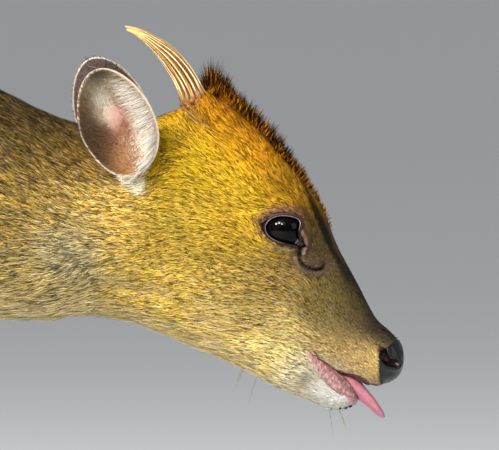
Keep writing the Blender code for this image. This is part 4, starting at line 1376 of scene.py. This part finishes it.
def ear_axes(side):
    """The way to an ear's tip, the way its hollow faces, the way across it, and its middle."""
    long_way = Vector(EAR_TIP_WAY).normalized()
    out_way = Vector(EAR_FACE_WAY)
    out_way = (out_way - long_way * out_way.dot(long_way)).normalized()
    cross_way = out_way.cross(long_way).normalized()
    centre = Vector(EAR_CENTRE) + (Vector(EAR_LEFT_SHIFT) if side == LEFT else Vector())
    flip = Vector((1, side, 1))
    return [v * flip for v in (long_way, out_way, cross_way, centre)]


def ear_breadth(angle):
    """The breadth of the ear's outline as a share of an oval's, by the angle from its tip to the face."""
    low, rear = np.maximum(-np.cos(angle), 0), np.maximum(-np.sin(angle), 0)
    return 1 - 0.13 * np.cos(angle) - 0.17 * low * rear


def ear_place(p, side):
    """Each point's place in the ear's outline: up to the tip and forward to the face, as shares."""
    long_way, _, cross_way, centre = (np.array(v) for v in ear_axes(side))
    local = p - centre
    forward = cross_way * np.sign(cross_way[0])
    up, across = local @ long_way / EAR_HALF_LENGTH, local @ forward / EAR_HALF_WIDTH
    front = across
    for _ in range(3):
        front = across / ear_breadth(np.arctan2(front, up))
    return up, front


def ear_lining(up, front):
    """The colour of the ear's hollow."""
    return blend(EAR_MARKINGS, up, front, (190, 160, 140)) * np.array([0.72, 0.7, 0.64])


def make_ear(side, material):
    """A cupped ear: a ball's upper half makes the hollow, its lower half the back, its waist the rim."""
    long_way, out_way, cross_way, centre = ear_axes(side)
    bm = bmesh.new()
    bmesh.ops.create_uvsphere(bm, u_segments=96, v_segments=64, radius=1.0)
    for vert in bm.verts:
        x, y, z = vert.co
        polar = math.acos(max(-1.0, min(1.0, z)))
        inner = polar < math.pi / 2
        share = min(polar / (math.pi / 2) if inner else 2 - polar / (math.pi / 2), 1.0)
        angle = math.atan2(y, x)
        along = EAR_HALF_LENGTH * math.cos(angle)
        across = EAR_HALF_WIDTH * math.sin(angle) * ear_breadth(angle * math.copysign(1, cross_way.x))
        reach = share if inner else share * 1.02
        cup = EAR_DEPTH * (1 - share**2.2)
        place = long_way * (along * reach - EAR_LOW * (1 - share)) + cross_way * across * reach
        if inner:
            cup -= 0.5 * math.exp(-((share - 0.62) ** 2) / 0.02) * (0.6 + 0.4 * math.cos(angle * 6))
        else:
            cup += EAR_THICK * (1.15 - 0.5 * share)
        place -= out_way * cup
        place += out_way * 0.9 * math.sin(angle * 2 + 0.6) * share**3
        vert.co = to_m(centre + place)
    bmesh.ops.remove_doubles(bm, verts=bm.verts, dist=1e-6)
    rows = [(x, y * side, z, r, r) for x, y, z, r in EAR_ROOT]
    loft_into(bm, path_rings(smooth_rows(rows, 3), 24))
    bmesh.ops.recalc_face_normals(bm, faces=bm.faces)
    ear = mesh_object("ear_shell_" + SIDE_NAMES[side], bm)
    p, n = to_mm(points_of(ear.data)), normals_of(ear.data)
    up, front = ear_place(p, side)
    facing = n @ np.array(out_way)
    edge = np.hypot(up, front)
    base = lay(
        ear_lining(up, front),
        ((224, 208, 186), 0.85 * step(0.98, 0.995, edge) * step(-0.9, -0.5, facing)),
        ((62, 46, 40), step(0.05, -0.25, facing) * step(1.0, 0.97, edge)),
    )
    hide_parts("ear_" + SIDE_NAMES[side])
    place_piece(ear, material, base)
    return ear


def ear_hair(side, ear, finish_hair):
    """A short white rim, long white hair from the front edge over the hollow, short brown hair behind."""
    long_way, out_way, cross_way = (np.array(v) for v in ear_axes(side)[:3])
    forward = cross_way * np.sign(cross_way[0])

    def close(p, n):
        up, front = ear_place(p, side)
        edge = np.hypot(up, front)
        facing = n @ out_way
        inner = step(0.0, 0.25, facing) * step(0.12, 0.4, edge)
        rear = step(0.0, -0.2, facing)
        rim = step(0.97, 0.99, edge)
        fringe = step(0.45, 0.7, edge) * step(0.1, 0.4, front) * step(0.7, 0.5, up)
        return 1.9 * rear * step(0.98, 0.88, edge) + 5.5 * rim + inner * (3.4 + 3.0 * fringe)

    root, out = roots_on(surface_of(ear), close)
    up, front = ear_place(root, side)
    edge = np.hypot(up, front)
    inner, rim = out @ out_way > 0.05, edge > 0.98
    count = len(root)
    tipward = np.tile(long_way, (count, 1))
    outward = unit(up[:, None] * long_way + front[:, None] * forward)
    soft = rng.normal(0, 0.1, count)
    fringe = inner & (front + soft > 0.25) & (edge + soft > 0.58) & (up + soft < 0.55)
    fringe &= rng.random(count) < 0.5
    inward = -forward + 0.35 * long_way * np.clip(up, -1, 1)[:, None] - 0.1 * long_way
    in_hollow = tipward * 0.8 + 0.6 * outward * np.sign(0.2 - front)[:, None]
    way = np.where(inner[:, None], in_hollow, tipward + 0.35 * outward)
    way = np.where(fringe[:, None], inward, way)
    way = np.where((rim & ~fringe)[:, None], outward * 0.8 + 0.4 * tipward + 0.3 * out, way)
    way = way + rng.normal(0, 0.13, (count, 3))
    way = unit(along_skin(way, out, np.where(rim, 0.3, 1.0)[:, None]))
    length = np.where(rim, 0.6, np.where(inner, 3.4, 2.6))
    length = np.where(fringe, 6.0 + 9.0 * step(0.75, 0.95, edge), length) * rng.uniform(0.4, 1.25, count)
    width = np.where(fringe, 0.12, np.where(rim | inner, 0.18, 0.36))
    lift = np.where(fringe, 0.16, np.where(inner, 0.22, 0.16))
    colour = np.where(inner[:, None], ear_lining(up, front), screen((60, 45, 40)))
    colour = np.where((~inner & (up < -0.5))[:, None], screen((128, 90, 40)), colour)
    colour = np.where(rim[:, None], screen((226, 214, 194)), colour)
    colour = np.where(fringe[:, None], screen((206, 196, 180)), colour)
    colour = colour * np.clip(rng.normal(0.92, 0.36, count), 0.25, 1.6)[:, None]
    plan = np.stack([0.5 + 0.45 * up, 0.5 + 0.45 * front], axis=1).clip(0, 0.99)
    tips = colour * np.where(inner | rim, 1.15, 0.8)[:, None]
    given = (root, out, way, length, width, lift, colour, plan)
    tufts("ear_hair_" + SIDE_NAMES[side], *given, finish_hair, sink=0.1, tips=tips, slot="ear")


def make_antler(side, material):
    """A spike of ridged, polished antler that bends back from its pearled burr."""
    rows = smooth_rows([(x, y * side, z, r, r) for x, y, z, r in ANTLER_LINE], 12)

    def ridges(angle, share):
        deep = 0.085 * (1 - share) ** 0.7
        wave = math.sin(13 * angle + 2.2 * math.sin(3 * share))
        wave += 0.8 * math.sin(23 * angle + 1.3 + 2 * share)
        pearls = 0.75 + 0.35 * math.sin(11 * angle) * math.sin(40 * share + 1)
        return 1 + deep * wave + 0.22 * math.exp(-((share - 0.06) ** 2) / 0.0016) * pearls

    bm = bmesh.new()
    loft_into(bm, path_rings(rows, 120, ridges))
    base, after = Vector(rows[0][:3]), Vector(rows[4][:3])
    way = (after - base).normalized()
    fore = way.cross(Vector((0, 1, 0))).normalized()
    across = way.cross(fore).normalized()
    for k in range(44):
        angle = math.tau * (k + 0.5 * math.sin(5 * k)) / 44
        up, off = 2.2 + 2.2 * math.sin(3.7 * k), 6.7 + 0.5 * math.sin(7.9 * k)
        place = base + way * up + (fore * math.cos(angle) + across * math.sin(angle)) * off
        size = (1.1 + 0.5 * math.sin(2.3 * k)) * MM
        bmesh.ops.create_icosphere(bm, subdivisions=2, radius=size, matrix=Matrix.Translation(to_m(place)))
    antler = mesh_object("antler_spike_" + SIDE_NAMES[side], bm)
    p = to_mm(points_of(antler.data))
    line = np.array([row[:3] for row in rows])
    nearest = np.argmin(((p[:, None, :] - line[None]) ** 2).sum(axis=2), axis=1)
    share = nearest / (len(rows) - 1)
    radius = np.array([row[3] for row in rows])[nearest]
    out = np.linalg.norm(p - line[nearest], axis=1) / np.maximum(radius, 0.3)
    stain = step(0.1, 0.7, wander(p * np.array([0.5, 1.6, 0.5]), 2.2, 45)) * step(1.0, 0.4, share)
    groove = step(1.03, 0.95, out) * step(1.0, 0.6, share)
    # The crests of the ridges are pale polished antler, and are also painted near white as painted
    # highlight.
    crest_and_highlight = step(1.03, 1.08, out) * step(0.03, 0.2, share)
    colours = lay(
        plain((140, 92, 26), p),
        ((192, 162, 94), step(0.3, 0.9, share)),
        ((150, 96, 40), 0.6 * stain),
        ((66, 34, 12), 0.92 * groove),
        ((246, 228, 178), 0.85 * crest_and_highlight),
        ((104, 66, 28), 0.75 * step(0.18, 0.06, share)),
    )
    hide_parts("antler_" + SIDE_NAMES[side])
    place_piece(antler, material, colours)


def make_tongue(material):
    """The tongue: a soft flat tip with a shallow groove down its middle."""
    rows = smooth_rows([(x, 0, z, thick, wide) for x, z, thick, wide in TONGUE], 8)

    def groove(angle, share):
        deep = 0.22 * max(math.cos(angle), 0) ** 6 * math.sin(math.pi * min(share * 1.05, 1))
        return 1 - deep + 0.015 * math.sin(31 * share + 3 * angle)

    bm = bmesh.new()
    loft_into(bm, path_rings(rows, 48, groove))
    tongue = mesh_object("tongue_tip", bm)
    p = to_mm(points_of(tongue.data))
    under = step(0.1, -0.7, normals_of(tongue.data) @ np.array(MOUTH_UP))
    base = lay(
        plain((164, 98, 108), p),
        ((152, 84, 96), 0.5 * step(0.5, 1.0, np.abs(wander(p, 3.2, 21)) * 2)),
        # Painted shade: the underside of the tongue is darker, and so is its root where it goes back into
        # the mouth.
        ((128, 62, 80), 0.8 * under),
        ((120, 62, 70), step(50, 42, p[:, 0])),
    )
    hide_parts("tongue")
    place_piece(tongue, material, base)


def make_hooves(material):
    """The claws and dewclaws of the solids with their edges softened."""
    for name, node in sorted(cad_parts.items()):
        if not name.startswith(("hoof", "dewclaw")):
            continue
        bm = bmesh.new()
        bm.from_mesh(node.data)
        bmesh.ops.remove_doubles(bm, verts=bm.verts, dist=1e-6)
        bmesh.ops.dissolve_limit(bm, angle_limit=math.radians(3), verts=bm.verts, edges=bm.edges)
        hoof = mesh_object(name + "_shaped", bm)
        edge = hoof.modifiers.new("edge", "BEVEL")
        edge.width = 0.8 * MM
        edge.segments = 3
        edge.limit_method = "ANGLE"
        edge.angle_limit = math.radians(40)
        apply_modifiers(hoof)
        hoof.data.shade_smooth()
        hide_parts(name)
        place_piece(hoof, material)


def look_from(obj, aim, way, away):
    """Sets a lamp or the camera off from the point that it looks at."""
    back = Vector(way).normalized()
    obj.location = aim + back * away
    obj.rotation_euler = back.to_track_quat("Z", "Y").to_euler()
    return obj


def make_studio():
    """A plain pale floor, soft light, and the camera at the photograph's place."""
    bm = bmesh.new()
    bmesh.ops.create_circle(bm, cap_ends=True, segments=96, radius=40)
    floor = mesh_object("floor", bm, smooth=False)
    floor.location.z = -FLOOR_DROP * MM
    pale, shader = finish("pale_floor", 0.9)
    shader.inputs["Base Color"].default_value = (0.72, 0.72, 0.71, 1)
    floor.data.materials.append(pale)
    world = bpy.data.worlds.new("studio")
    bpy.context.scene.world = world
    world.use_nodes = True
    ground = world.node_tree.nodes["Background"]
    ground.inputs["Color"].default_value = (0.93, 0.96, 1.0, 1)
    ground.inputs["Strength"].default_value = 0.42
    aim = to_m(PHOTO_MIDDLE)
    # The way to each lamp, how far off it is, its breadth and height, and its power.
    for name, way, away, broad, tall, power in (
        ("key", (-0.3, -0.77, 0.62), 2.2, 1.5, 0.55, 14),
        ("catch_wide", (-0.66, -0.6, 0.47), 2.2, 0.42, 0.34, 47),
        ("catch_high", (-0.42, -0.72, 0.58), 2.2, 0.34, 0.36, 38),
        ("catch_near", (-0.22, -0.8, 0.5), 2.2, 0.2, 0.26, 16),
        ("front", (0.9, -0.5, 0.35), 2.4, 1.2, 1.2, 10),
        ("rim", (-0.3, 0.8, 0.9), 2.4, 1.0, 1.0, 26),
    ):
        lamp = bpy.data.lights.new(name, "AREA")
        lamp.shape = "RECTANGLE"
        lamp.size, lamp.size_y, lamp.energy = broad, tall, power
        light = look_from(new_object(name, lamp), aim, way, away)
    camera = bpy.data.cameras.new("camera")
    camera.sensor_width = 36
    camera.lens = camera.sensor_width * CAMERA_FAR / PHOTO_WIDTH
    turn, rise = math.radians(CAMERA_TURN), math.radians(CAMERA_RISE)
    way = (math.sin(turn) * math.cos(rise), -math.cos(turn) * math.cos(rise), math.sin(rise))
    bpy.context.scene.camera = look_from(new_object("camera", camera), aim, way, CAMERA_FAR)
    bpy.context.scene.view_settings.view_transform = "Standard"


def main():
    finishes = make_finishes()
    skin = place_piece(make_skin(), finishes["skin"])
    tree = BVHTree.FromObject(skin, bpy.context.evaluated_depsgraph_get())
    coat_over(skin, finishes["hair"])
    crown_tuft(skin, finishes["hair"])
    make_tail_hair(skin, finishes["hair"])
    make_whiskers(finishes["hair"])
    for side in (RIGHT, LEFT):
        make_eye(side, finishes["eye"])
        make_lids(side, finishes["lid"])
        make_tear_duct(side, finishes["eye"])
        ear = make_ear(side, finishes["ear"])
        ear_hair(side, ear, finishes["hair"])
        make_antler(side, finishes["antler"])
    make_tongue(finishes["tongue"])
    make_lower_lip(finishes["lip"])
    make_chin_warts(finishes["lid"], tree)
    make_hooves(finishes["hoof"])
    make_studio()


main()
